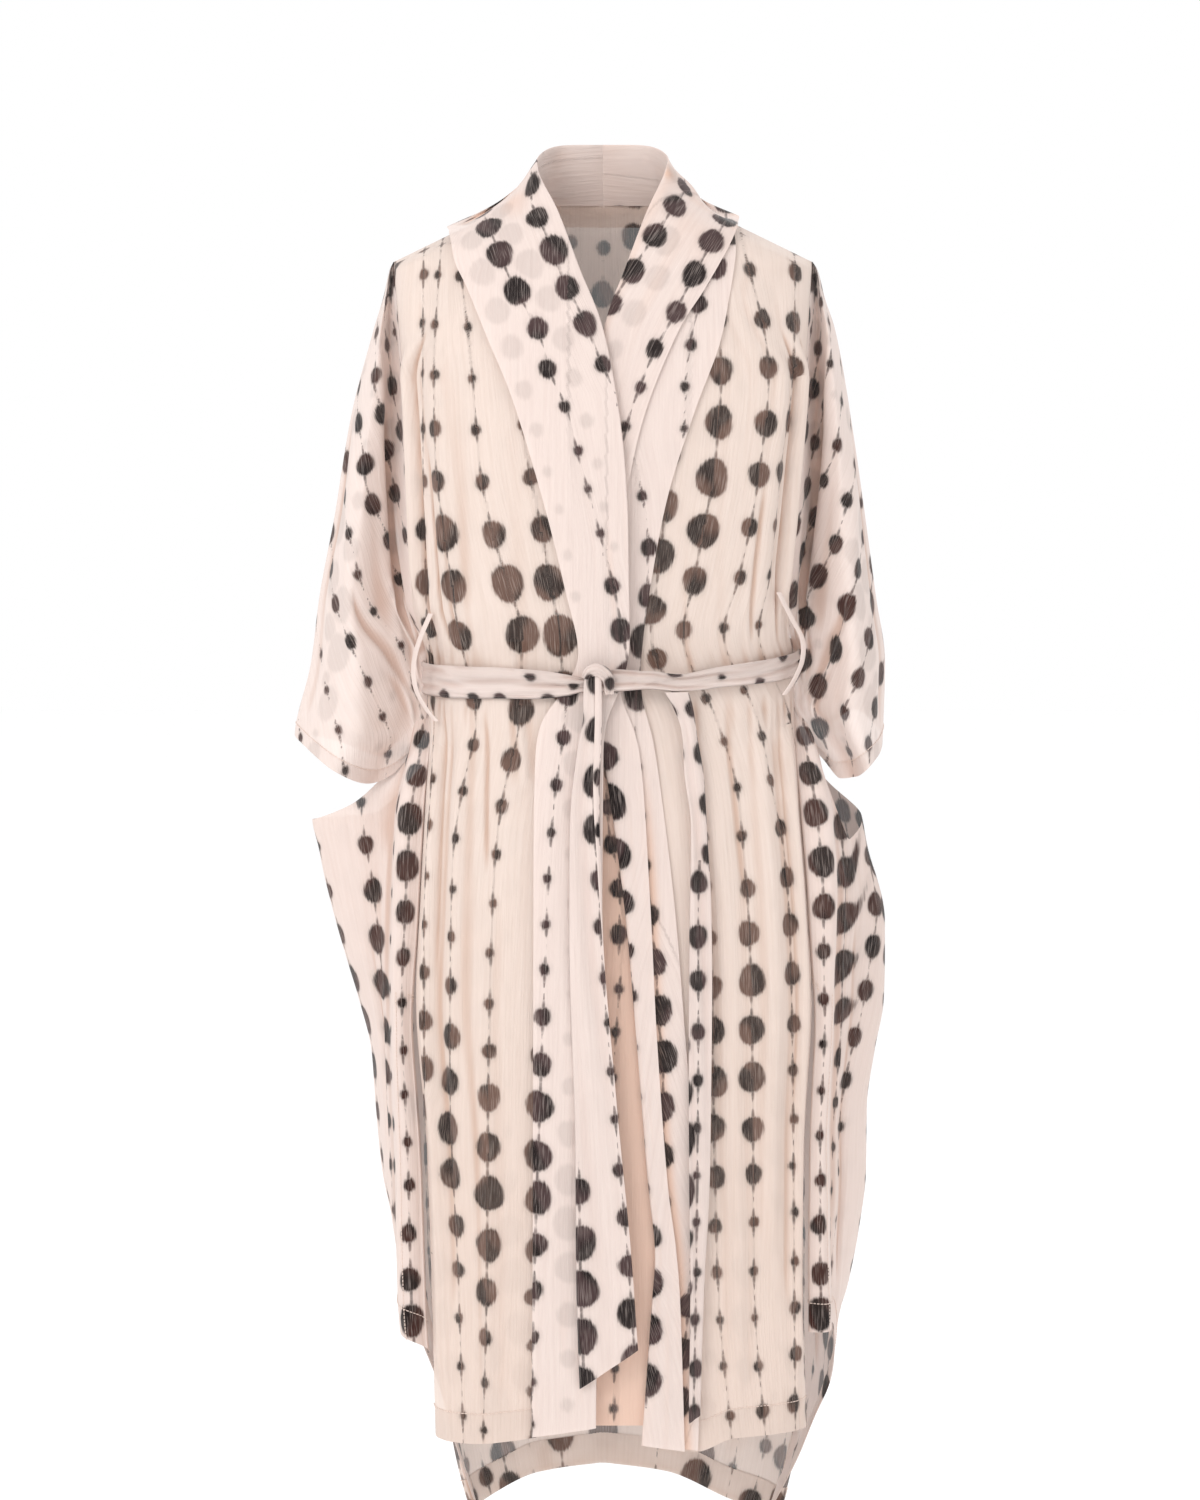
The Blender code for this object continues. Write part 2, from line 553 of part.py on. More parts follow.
def band_grid(side, band):
    """Points of a band from the middle of the back neck to the front hem."""
    sections = [neck_section(side, k) for k in range(3)]
    sections += [band_section(side, band, k) for k in range(len(band["roll_out"]))]
    sections = np.array(sections)
    along = np.linspace(0.0, 1.0, BAND_ROWS)
    return np.stack([spline(sections[:, j], along) for j in range(sections.shape[1])], axis=1)


def belt_grid():
    """Points of the belt, once round the waist."""
    turn = np.linspace(0.0, 2.0 * np.pi, BELT_COLUMNS, endpoint=False)
    power = 2.0 / ROUNDNESS
    across = np.sign(np.sin(turn)) * np.abs(np.sin(turn)) ** power
    deep = np.sign(np.cos(turn)) * np.abs(np.cos(turn)) ** power
    rows = []
    for share in (-0.5, 0.0, 0.5):
        points = []
        for a, d in zip(across, deep):
            side = "right" if a < 0.0 else "left"
            edge = at(FRONT_EDGE, side, -0.431)
            z, off = at(BELT, "z", a * edge, "x"), at(BELT, "off", a * edge, "x")
            if d > 0.0:
                edge_y, depth = at(FRONT_EDGE, "y", z), -at(DEPTH, "front", z) - off
            else:
                edge_y, depth = at(BACK_EDGE, "y", z), at(DEPTH, "back", z) + BELT_OFF
            y = edge_y + (depth - edge_y) * abs(d)
            points.append((a * (edge + BELT_OFF), y, z + share * BELT_HEIGHT))
        rows.append(points)
    return np.array(rows)


def tail_grid(tail, slant, rows=17):
    """Points of a belt tail hanging down the front, its end cut on a slant."""
    heights = np.linspace(tail["z"][0], tail["z"][-1], rows)
    grid = []
    for z in heights:
        share = np.linspace(-0.5, 0.5, 4)
        x = at(tail, "x", z) + share * at(tail, "width", z)
        level = z + slant * share * ease(heights[0], heights[-1], z)
        off = at(tail, "off", z)
        side = "right" if at(tail, "x", z) < 0.04 else "left"
        out = SIDES[side] * x
        grid.append(on_front(out, level, side, np.full(4, off)))
    return np.array(grid)


def loop_grid(side, path):
    """Points of a belt loop: a narrow strip along its path."""
    middle = spline(path, np.linspace(0.0, 1.0, 12))
    middle[:, 0] *= SIDES[side]
    shift = np.array([0.0, LOOP_WIDTH / 2.0, 0.0])
    return np.stack([middle - shift, middle + shift], axis=1)


def knot_faces():
    """Points and faces of the knot: rounded sections down the strap, closed at both ends."""
    turn = np.linspace(0.0, 2.0 * np.pi, 16, endpoint=False)
    points = []
    for k in range(len(KNOT["z"])):
        y = float(front_y(0.008, -0.43, "right")) - KNOT_OFF
        x = KNOT["x"][k] + KNOT["half_width"][k] * np.cos(turn)
        points += [(a, y + KNOT["half_depth"][k] * b, KNOT["z"][k]) for a, b in zip(x, np.sin(turn))]
    faces = []
    for k in range(len(KNOT["z"]) - 1):
        for j in range(16):
            step = (j + 1) % 16
            faces.append((16 * k + j, 16 * (k + 1) + j, 16 * (k + 1) + step, 16 * k + step))
    faces.append(tuple(range(16)))
    faces.append(tuple(16 * (len(KNOT["z"]) - 1) + j for j in reversed(range(16))))
    return points, faces


def grid_faces(shape, closed):
    """Faces of a grid of points, closed or open along its rows."""
    rows, columns = shape
    last = columns if closed else columns - 1
    return [(i * columns + j, i * columns + (j + 1) % columns,
             (i + 1) * columns + (j + 1) % columns, (i + 1) * columns + j)
            for i in range(rows - 1) for j in range(last)]


def material(name, colour):
    """A plain cloth material."""
    made = bpy.data.materials.new(name)
    made.use_nodes = True
    shader = made.node_tree.nodes["Principled BSDF"]
    shader.inputs["Base Color"].default_value = (*colour, 1.0)
    shader.inputs["Roughness"].default_value = 0.85
    return made


def add_object(name, points, faces, colour):
    """A mesh object in the coat's collection."""
    mesh = bpy.data.meshes.new(name)
    mesh.from_pydata([tuple(map(float, p)) for p in points], [], faces)
    mesh.update()
    mesh.materials.append(material(name + "_cloth", colour))
    made = bpy.data.objects.new(name, mesh)
    COAT.objects.link(made)
    return made


def add_sheet(name, grid, colour, wall=WALL, closed=False):
    """A cloth piece: an open sheet of points given its wall."""
    made = add_object(name, grid.reshape(-1, 3), grid_faces(grid.shape[:2], closed), colour)
    thicken = made.modifiers.new("wall", "SOLIDIFY")
    thicken.thickness = wall
    thicken.offset = 0.0
    return made


for old in list(bpy.data.objects):
    bpy.data.objects.remove(old, do_unlink=True)
COAT = bpy.data.collections.new("duster_coat")
bpy.context.scene.collection.children.link(COAT)

CREAM = (0.78, 0.68, 0.59)
DOUBLED = (0.76, 0.66, 0.60)

add_sheet("back", back_grid(), CREAM)
add_sheet("right_front", front_grid("right", RIGHT_FRONT_FOLDS), CREAM)
add_sheet("left_front", front_grid("left", LEFT_FRONT_FOLDS), CREAM)
for wearer_side in SIDES:
    hem_column = wearer_side + "_hem"
    sleeve = ring_grid(wearer_side, sleeve_ring, SLEEVE_ENDS, SLEEVE_GRID, "top", hem_column)
    add_sheet(wearer_side + "_sleeve", sleeve, CREAM)
    drape = ring_grid(wearer_side, side_ring, SIDE_ENDS, SIDE_GRID, wearer_side + "_top", hem_column)
    add_sheet(wearer_side + "_side", drape, CREAM)
add_sheet("right_band", band_grid("right", RIGHT_BAND), DOUBLED)
add_sheet("left_band", band_grid("left", LEFT_BAND), DOUBLED)
add_sheet("belt", belt_grid(), DOUBLED, BELT_WALL, closed=True)
add_object("belt_knot", *knot_faces(), DOUBLED)
add_sheet("right_tail", tail_grid(RIGHT_TAIL, RIGHT_TAIL_SLANT), DOUBLED, BELT_WALL)
add_sheet("left_tail", tail_grid(LEFT_TAIL, LEFT_TAIL_SLANT), DOUBLED, BELT_WALL)
add_sheet("right_loop", loop_grid("right", RIGHT_LOOP), DOUBLED)
add_sheet("left_loop", loop_grid("left", LEFT_LOOP), DOUBLED)
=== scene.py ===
import bpy
import numpy as np
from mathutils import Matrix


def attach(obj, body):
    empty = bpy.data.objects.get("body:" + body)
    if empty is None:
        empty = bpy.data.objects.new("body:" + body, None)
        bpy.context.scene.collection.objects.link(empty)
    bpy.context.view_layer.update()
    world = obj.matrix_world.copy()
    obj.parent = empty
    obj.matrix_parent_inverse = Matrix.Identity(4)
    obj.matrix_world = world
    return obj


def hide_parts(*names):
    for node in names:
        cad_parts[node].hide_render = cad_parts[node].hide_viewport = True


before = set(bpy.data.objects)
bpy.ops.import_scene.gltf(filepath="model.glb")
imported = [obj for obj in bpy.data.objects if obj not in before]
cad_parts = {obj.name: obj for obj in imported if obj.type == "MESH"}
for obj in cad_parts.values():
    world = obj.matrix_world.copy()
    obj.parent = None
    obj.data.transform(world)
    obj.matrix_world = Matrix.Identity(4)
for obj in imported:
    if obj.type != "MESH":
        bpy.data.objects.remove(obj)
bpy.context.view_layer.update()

# Back: one wide panel of sheer crinkle chiffon from the shoulder seams to a dipped hem. It is drawn in
# at the waist by the belt, and its hem is turned up inside and stitched. Lengths are metres, the front
# faces -Y, heights are z, and "out" is the distance from the middle of the coat.
SIDES = {"right": -1.0, "left": 1.0}
FORWARD = (0, -1, 0)
BACKWARD = (0, 1, 0)
ALL_ROUND = (0, 0, 0)
ROUNDNESS = 2.4
SHOULDER_NECK_OUT = 0.085
SHOULDER_TIP_OUT = 0.186
SHOULDER_NECK_Z = -0.012
SHOULDER_DROP = 0.049
SHOULDER_ENDS_Z = -0.200
SHOULDER_CALM = (-0.020, -0.080)
ROUND_FROM = (-0.060, -0.160)
SEAM_REACH = 16
WAIST_Z = -0.431
BACK_FOOT = -1.200
HEM_TURN = 0.025
TURN_INSET = 0.0010
VALLEY_DEPTH = 0.0013
TURN_CRESTS = [0.20, 0.02, 0.24, 0.10, 0.22]


def table(columns, rows):
    """A table of rows as one array per named column."""
    return dict(zip(columns.split(), np.array(rows, float).T))


def at(rows, column, where, key="z"):
    """A column of a table, smoothly and without overshoot, at the given heights or places."""
    order = np.argsort(rows[key])
    xs = rows[key][order]
    ys = rows[column][order]
    steps = np.diff(ys) / np.diff(xs)
    product = steps[:-1] * steps[1:]
    inner = np.where(product > 0.0, 2.0 * product / (steps[:-1] + steps[1:] + 1e-30), 0.0)
    tangent = np.concatenate([steps[:1], inner, steps[-1:]])
    x = np.clip(where, xs[0], xs[-1])
    cell = np.clip(np.searchsorted(xs, x, side="right") - 1, 0, len(xs) - 2)
    width = xs[cell + 1] - xs[cell]
    t = (x - xs[cell]) / width
    return ((2 * t**3 - 3 * t**2 + 1) * ys[cell] + (t**3 - 2 * t**2 + t) * width * tangent[cell]
            + (3 * t**2 - 2 * t**3) * ys[cell + 1] + (t**3 - t**2) * width * tangent[cell + 1])


def ease(start, end, where):
    """Zero at start, one at end, with soft shoulders."""
    t = np.clip((where - start) / (end - start), 0.0, 1.0)
    return t * t * (3.0 - 2.0 * t)


def arch(out, edge_out, edge_y, depth):
    """Depth of a rounded panel between its middle and its side edge."""
    share = np.clip(1.0 - np.abs(out / edge_out) ** ROUNDNESS, 0.0, 1.0)
    return edge_y + (depth - edge_y) * share ** (1.0 / ROUNDNESS)


def shoulder_z(neck_z, out):
    """Height along a row that starts as the shoulder slope and levels out at the chest."""
    drop = SHOULDER_DROP * (1.0 - ease(SHOULDER_NECK_Z, SHOULDER_ENDS_Z, neck_z))
    share = (np.abs(out) - SHOULDER_NECK_OUT) / (SHOULDER_TIP_OUT - SHOULDER_NECK_OUT)
    return neck_z - drop * np.clip(share, 0.0, 1.0)


def row_places(inner, edge, across, neck_z):
    """Distances out along a row: even at the shoulder, closer together at the side below it."""
    power = ROUNDNESS / 2.0
    start = np.arcsin(np.sign(inner) * np.abs(inner / edge) ** power)
    turn = np.sin(start + across * (np.pi / 2.0 - start))
    rounded = edge * np.sign(turn) * np.abs(turn) ** (1.0 / power)
    even = inner + across * (edge - inner)
    return even + (rounded - even) * ease(*ROUND_FROM, neck_z)


DEPTH = table("z front back", [
    (0.031, 0.046, 0.060),
    (-0.012, 0.060, 0.075),
    (-0.060, 0.080, 0.090),
    (-0.120, 0.100, 0.102),
    (-0.200, 0.120, 0.108),
    (-0.270, 0.125, 0.108),
    (-0.350, 0.121, 0.103),
    (-0.410, 0.115, 0.097),
    (-0.430, 0.1145, 0.096),
    (-0.460, 0.118, 0.100),
    (-0.550, 0.130, 0.116),
    (-0.700, 0.138, 0.126),
    (-0.900, 0.141, 0.132),
    (-1.100, 0.141, 0.134),
    (-1.240, 0.141, 0.132),
])
# Side seams down to the waist: height, how far out at the right and left, depth of the front and the back
SEAM_ROWS = [
    (0.031, 0.056, 0.056, 0.0, 0.0),
    (-0.012, 0.085, 0.085, 0.0, 0.0),
    (-0.061, 0.186, 0.186, 0.0, 0.0),
    (-0.094, 0.183, 0.183, -0.028, 0.030),
    (-0.180, 0.176, 0.178, -0.045, 0.048),
    (-0.270, 0.173, 0.171, -0.050, 0.054),
    (-0.360, 0.169, 0.165, -0.050, 0.052),
    (-0.390, 0.161, 0.166, -0.036, 0.038),
    (-0.412, 0.157, 0.170, -0.012, 0.013),
    (-0.450, 0.156, 0.171, -0.012, 0.013),
    (-0.480, 0.154, 0.171, -0.040, 0.040),
]
EDGE_COLUMNS = "z right left y"
BACK_EDGE = table(EDGE_COLUMNS, [(z, right, left, back) for z, right, left, front, back in SEAM_ROWS] + [
    (-0.530, 0.159, 0.174, 0.072),
    (-0.620, 0.164, 0.180, 0.082),
    (-0.710, 0.166, 0.183, 0.086),
    (-0.840, 0.166, 0.185, 0.088),
    (-0.985, 0.163, 0.188, 0.088),
    (-1.074, 0.150, 0.188, 0.088),
    (-1.145, 0.138, 0.178, 0.088),
    (-1.240, 0.112, 0.150, 0.086),
])
BACK_HEM = table("out z", [
    (0.000, -1.190),
    (0.060, -1.198),
    (0.120, -1.222),
    (0.160, -1.232),
])

# Creases: place across the panel at top and foot, heights, depth out of the panel, width
CREASE_COLUMNS = "top_at foot_at top_z foot_z depth width"
BACK_CREASES = table(CREASE_COLUMNS, [
    (0.14, 0.20, -0.090, -0.375, 0.006, 0.045),
    (0.22, 0.27, -0.120, -0.405, -0.004, 0.020),
    (0.30, 0.34, -0.140, -0.395, 0.005, 0.040),
    (0.39, 0.42, -0.230, -0.410, -0.003, 0.018),
    (0.50, 0.50, -0.180, -0.385, -0.004, 0.055),
    (0.60, 0.57, -0.250, -0.410, 0.003, 0.020),
    (0.71, 0.66, -0.140, -0.395, 0.005, 0.040),
    (0.79, 0.73, -0.110, -0.405, -0.004, 0.020),
    (0.86, 0.80, -0.090, -0.375, 0.006, 0.045),
    (0.24, 0.22, -0.445, -1.150, 0.013, 0.042),
    (0.31, 0.29, -0.440, -0.760, -0.005, 0.016),
    (0.38, 0.36, -0.445, -1.190, 0.012, 0.042),
    (0.45, 0.44, -0.440, -0.900, -0.006, 0.018),
    (0.51, 0.52, -0.445, -1.190, 0.012, 0.046),
    (0.58, 0.59, -0.440, -0.820, -0.005, 0.016),
    (0.64, 0.66, -0.445, -1.190, 0.012, 0.042),
    (0.71, 0.73, -0.440, -0.940, -0.006, 0.018),
    (0.77, 0.79, -0.445, -1.150, 0.013, 0.042),
])


def with_ends(points):
    """Points with one more at each end, straight on."""
    return np.concatenate([[2 * points[0] - points[1]], points, [2 * points[-1] - points[-2]]])


def through(a, b, c, d, t):
    """The smooth curve between the middle two of four points."""
    return 0.5 * (2 * b + (c - a) * t + (2 * a - 5 * b + 4 * c - d) * t**2 + (3 * b - a - 3 * c + d) * t**3)


def run_of(line):
    """Length from the first point of a line to each of its points."""
    return np.concatenate([[0.0], np.cumsum(np.linalg.norm(np.diff(line, axis=0), axis=1))])


def facing_out(grid, toward):
    """Directions square to a grid of points, on the side that toward names."""
    square = np.cross(np.gradient(grid, axis=1), np.gradient(grid, axis=0))
    square /= np.linalg.norm(square, axis=-1, keepdims=True) + 1e-12
    return -square if (square * np.array(toward)).sum() < 0.0 else square


def crease_depths(creases, across, level):
    """How far the creases move each point, every crease running out softly at both ends."""
    depth = np.zeros(np.broadcast(across, level).shape)
    for k in range(len(creases["depth"])):
        top, foot = creases["top_z"][k], creases["foot_z"][k]
        run = min(0.06, 0.3 * (top - foot))
        share = np.clip((top - level) / (top - foot), 0.0, 1.0)
        middle = creases["top_at"][k] + (creases["foot_at"][k] - creases["top_at"][k]) * share
        held = ease(top, top - run, level) * (1.0 - ease(foot + run, foot, level))
        depth = depth + creases["depth"][k] * held * np.exp(-((across - middle) / creases["width"][k]) ** 2)
    return depth


def gathers(across, level, waist_z, depth, seed, count=22, reach=0.075):
    """Small uneven pleats that fan out above and below the belt and fade within a hand's breadth."""
    chance = np.random.default_rng(seed)
    places = (np.arange(count) + chance.uniform(0.15, 0.85, count)) / count
    total = np.zeros(np.broadcast(across, level).shape)
    for place in places:
        width = chance.uniform(0.22, 0.42) / count
        length = reach * chance.uniform(0.5, 1.7)
        away = np.abs(level - waist_z)
        fade = np.exp(-(away / length) ** 1.5) * ease(0.004, 0.022, away)
        drift = place + chance.uniform(-0.12, 0.12) * away
        size = depth * chance.uniform(0.4, 1.0) * chance.choice([-1.0, 1.0])
        total = total + size * fade * np.exp(-((across - drift) / width) ** 2)
    return total


def soft_hang(across, level, depth, seed, count=26, tall=0.16):
    """Faint uneven swells all over a hanging panel."""
    chance = np.random.default_rng(seed)
    low, high = level.min(), level.max()
    total = np.zeros(np.broadcast(across, level).shape)
    for _ in range(count):
        middle, height = chance.uniform(0.0, 1.0), chance.uniform(low, high)
        width = chance.uniform(0.025, 0.07)
        length = tall * chance.uniform(0.5, 1.6)
        lean = chance.uniform(-0.15, 0.15)
        size = depth * chance.uniform(-1.0, 1.0)
        offset = (across - middle - lean * (level - height)) / width
        total = total + size * np.exp(-offset**2 - ((level - height) / length) ** 2)
    return total


def hem_rows(grid, depth):
    """How many rows of points, from the foot up, a hem of the given depth takes."""
    heights = np.linalg.norm(np.diff(grid[::-1], axis=0), axis=-1).mean(axis=1).cumsum()
    return int(np.searchsorted(heights, depth)) + 2


def turned(grid, toward, depth):
    """The hem turned up inside the foot of a panel, from the fold upwards."""
    count = hem_rows(grid, depth)
    inside = grid - TURN_INSET * facing_out(grid, toward)
    return np.concatenate([grid[-1:], inside[-2:-count - 1:-1]], axis=0)


# Print: strings of dots that swell and shrink down the cloth, joined by a fine broken thread
DOT_PITCH = 0.0465
DOT_WAVE = 0.490
DOT_SMALL = 0.0045
DOT_LARGE = 0.0160
DOT_BEYOND = 0.02
DOT_NEAR = 0.055
LONE_DOT = 0.003
STRING_PITCH = 0.045
NO_MARK = 0.05


def sampled(grid, place):
    """Values of a grid at a fractional column in each row."""
    left = np.clip(np.floor(place).astype(int), 0, grid.shape[1] - 2)
    share = (place - left)[:, None]
    rows = np.arange(grid.shape[0])
    return grid[rows, left] * (1.0 - share) + grid[rows, left + 1] * share


def charted(grid, side, heights, outs, first=0, last=None):
    """Fractional columns of a string charted as distances out by height, within a span of columns."""
    span = np.arange(first, grid.shape[1] if last is None else last + 1)
    path = table("z out", list(zip(heights, outs)))
    miss = SIDES[side] * grid[:, span, 0] - at(path, "out", grid[:, span, 2])
    if miss[-1, -1] < miss[-1, 0]:
        miss, span = miss[:, ::-1], span[::-1]
    step = (span[-1] - span[0]) / np.clip(miss[:, -1] - miss[:, 0], 0.02, None)
    found = np.array([np.interp(0.0, np.maximum.accumulate(row), span) for row in miss])
    return found - np.maximum(miss[:, 0], 0.0) * step - np.minimum(miss[:, -1], 0.0) * step


def string(place, crest, first=-1.0, last=9.0, pitch=DOT_PITCH, grow=1.0, thread=True, faint=False):
    """A string of dots: its column in each row, then lengths from its top, spacing and largest size.

    A faint string has no thread: it is printed on a layer beneath and only shows through.
    """
    return dict(place=place, crest=crest, first=first, last=last, pitch=pitch, grow=grow,
                thread=thread and not faint, faint=faint)


def hung(grid, place, crest_z, top_z=1.0, foot_z=-9.0, **more):
    """A string of dots on a hanging piece, its crest and ends given as heights."""
    line = sampled(grid, place)
    length = run_of(line)
    fall = np.maximum.accumulate(-line[:, 2])

    def measured(height):
        beyond = max(-height - fall[-1], 0.0) - max(fall[0] + height, 0.0)
        return np.interp(-height, fall, length) + beyond
    return string(place, measured(crest_z), measured(top_z), measured(foot_z), **more)


def unit(directions):
    """Directions made one long."""
    return directions / (np.linalg.norm(directions, axis=1)[:, None] + 1e-12)


def beside_string(grid, run, place):
    """How far points lie beside a string and along it, then the string's lengths and its runs across."""
    line = sampled(grid, place)
    own_run = sampled(run[:, :, None], place)[:, 0]
    down = unit(np.gradient(line, axis=0))
    sideways = unit(sampled(grid, place + 0.5) - sampled(grid, place - 0.5))
    lean = (down * sideways).sum(axis=1)[:, None]
    off = run - own_run[:, None]
    length = run_of(line)
    return off * np.sqrt(np.clip(1.0 - lean**2, 0.05, 1.0)), length[:, None] + off * lean, length, own_run


def add_dots(shown, one, chance, beside, forward, length):
    """Lowers the distances shown to those of a string's dots, which swell and shrink along it."""
    crest, pitch = one["crest"], one["pitch"]
    low = np.ceil((max(one["first"], -DOT_BEYOND) - crest) / pitch)
    high = np.floor((min(one["last"], length[-1] + DOT_BEYOND) - crest) / pitch)
    for middle in crest + pitch * np.arange(low, high + 1):
        swell = (0.5 + 0.5 * np.cos(2.0 * np.pi * (middle - crest) / DOT_WAVE)) ** 1.4
        radius = DOT_SMALL + (one["grow"] * DOT_LARGE - DOT_SMALL) * swell
        radius *= chance.uniform(0.90, 1.06)
        above, below = chance.uniform(1.02, 1.32, 2)
        lobe, twist = chance.uniform(0.01, 0.05), chance.uniform(0.0, 2.0 * np.pi)
        shift = chance.uniform(-0.0012, 0.0012)
        spot = middle + chance.uniform(-0.0020, 0.0020)
        near = np.abs(length - spot) < DOT_NEAR
        ahead, aside = forward[near] - spot, beside[near] - shift
        ahead = ahead / np.where(ahead > 0.0, below, above)
        edge = radius * (1.0 + lobe * np.cos(3.0 * np.arctan2(ahead, aside) + twist))
        shown[near] = np.minimum(shown[near], np.hypot(ahead, aside) - edge)


def flat_measure(grid, run, string_runs):
    """The cloth's own flat measure: across it from string to string, and down it from its top."""
    rows, columns = run.shape
    string_runs = np.array(string_runs)
    string_runs = string_runs[np.argsort(string_runs[:, rows // 2])]
    grain = np.zeros((rows, columns))
    for i in range(rows):
        mark = string_runs[:, i]
        grain[i] = np.interp(run[i], mark, STRING_PITCH * np.arange(len(mark)))
        grain[i] += np.minimum(run[i] - mark[0], 0.0) + np.maximum(run[i] - mark[-1], 0.0)
    fall = np.linalg.norm(np.diff(grid, axis=0), axis=-1)
    fall = np.concatenate([np.zeros((1, columns)), np.cumsum(fall, axis=0)], axis=0)
    return np.stack([grain, fall], axis=-1)


def printed(grid, strings, seed):
    """Distance to the nearest dot and thread at each point, and the cloth's own flat measure."""
    chance = np.random.default_rng(seed)
    steps = np.linalg.norm(np.diff(grid, axis=1), axis=-1)
    run = np.concatenate([np.zeros((len(grid), 1)), np.cumsum(steps, axis=1)], axis=1)
    dots, ghosts, thread = (np.full(run.shape, NO_MARK) for _ in range(3))
    along = np.zeros(run.shape)
    string_runs = []
    for one in strings:
        beside, forward, length, own_run = beside_string(grid, run, one["place"])
        held = (length > one["first"] - 0.01) & (length < one["last"] + 0.01) & one["thread"]
        closer = (np.abs(beside) < thread) & held[:, None]
        thread = np.where(closer, np.abs(beside), thread)
        along = np.where(closer, forward, along)
        add_dots(ghosts if one["faint"] else dots, one, chance, beside, forward, length)
        if not one["faint"]:
            string_runs.append(own_run)
    return {"print": np.stack([dots, thread, along], axis=-1), "ghost": ghosts,
            "flat": flat_measure(grid, run, string_runs)}


def slanting(grid, top, slant=0.0, down=None):
    """Columns of a string that starts at a share of the way across and slants as it runs down."""
    down = np.linspace(0.0, 1.0, grid.shape[0]) if down is None else down
    return (top + slant * down) * (grid.shape[1] - 1)


def lone_dot(grid, share, spot, grow):
    """A string of one dot, at a share of the way across and a length from the top."""
    return string(slanting(grid, share), spot, spot - LONE_DOT, spot + LONE_DOT, grow=grow, thread=False)


def straight_strings(grid, crests, first=0.5):
    """Strings at even shares across a grid, with the lengths from the top where they swell most."""
    shares = (np.arange(len(crests)) + first) / len(crests)
    return [string(slanting(grid, share), crest) for share, crest in zip(shares, crests)]


def hem_layer(grid, toward, depth, crests, seed):
    """The turned hem of a panel with its print, as one layer of a cloth piece."""
    turn = turned(grid, toward, depth)
    return turn, printed(turn, straight_strings(turn, crests), seed)


def add_node(tree, kind, settings=None, **inputs):
    """A node with its settings, its inputs linked or filled in by name or by number."""
    made = tree.nodes.new(kind)
    for name, value in (settings or {}).items():
        setattr(made, name, value)
    for name, value in inputs.items():
        socket = made.inputs[int(name[1:])] if name[0] == "_" else made.inputs[name]
        if isinstance(value, bpy.types.NodeSocket):
            tree.links.new(value, socket)
        else:
            socket.default_value = value
    return made


def math_node(tree, operation, *values):
    """The result of a math node."""
    inputs = {f"_{k}": value for k, value in enumerate(values)}
    return add_node(tree, "ShaderNodeMath", {"operation": operation}, **inputs).outputs[0]


def ramp_node(tree, value, start, end, low, high):
    """A value softly mapped from one range to another."""
    ends = {"From Min": start, "From Max": end, "To Min": low, "To Max": high}
    return add_node(tree, "ShaderNodeMapRange", {"interpolation_type": "SMOOTHSTEP"}, Value=value,
                    **ends).outputs["Result"]


def noise_node(tree, flat, scale, detail):
    """Noise stretched over the cloth's own flat measure, so many per metre across and down."""
    stretched = add_node(tree, "ShaderNodeMapping", None, Vector=flat, Scale=(*scale, 1.0))
    noise = add_node(tree, "ShaderNodeTexNoise", {"noise_dimensions": "2D"},
                     Vector=stretched.outputs[0], Scale=1.0, Detail=detail, Roughness=0.55)
    return noise.outputs["Fac"]


def mix_node(tree, share, first, second):
    """A colour mixed from two others, given as colours or as sockets."""
    first, second = ((*colour, 1.0) if isinstance(colour, tuple) else colour for colour in (first, second))
    return add_node(tree, "ShaderNodeMix", {"data_type": "RGBA"}, _0=share, _6=first, _7=second).outputs[2]


def new_finish(name, **settings):
    """A material with the given settings, its node tree and its shader."""
    made = bpy.data.materials.new(name)
    made.use_nodes = True
    shader = made.node_tree.nodes["Principled BSDF"]
    for socket, value in settings.items():
        shader.inputs[socket.replace("_", " ")].default_value = value
    return made, made.node_tree, shader


# Noise in the cloth and its ink, so many per metre across and down
CRINKLE = (360.0, 14.0)
FINE_CRINKLE = (1100.0, 50.0)
RAGGED = (520.0, 70.0)
SOAK = (30.0, 24.0)
RAGGED_DEPTH = 0.0016
INK_SHARES = (0.25, 1.50)


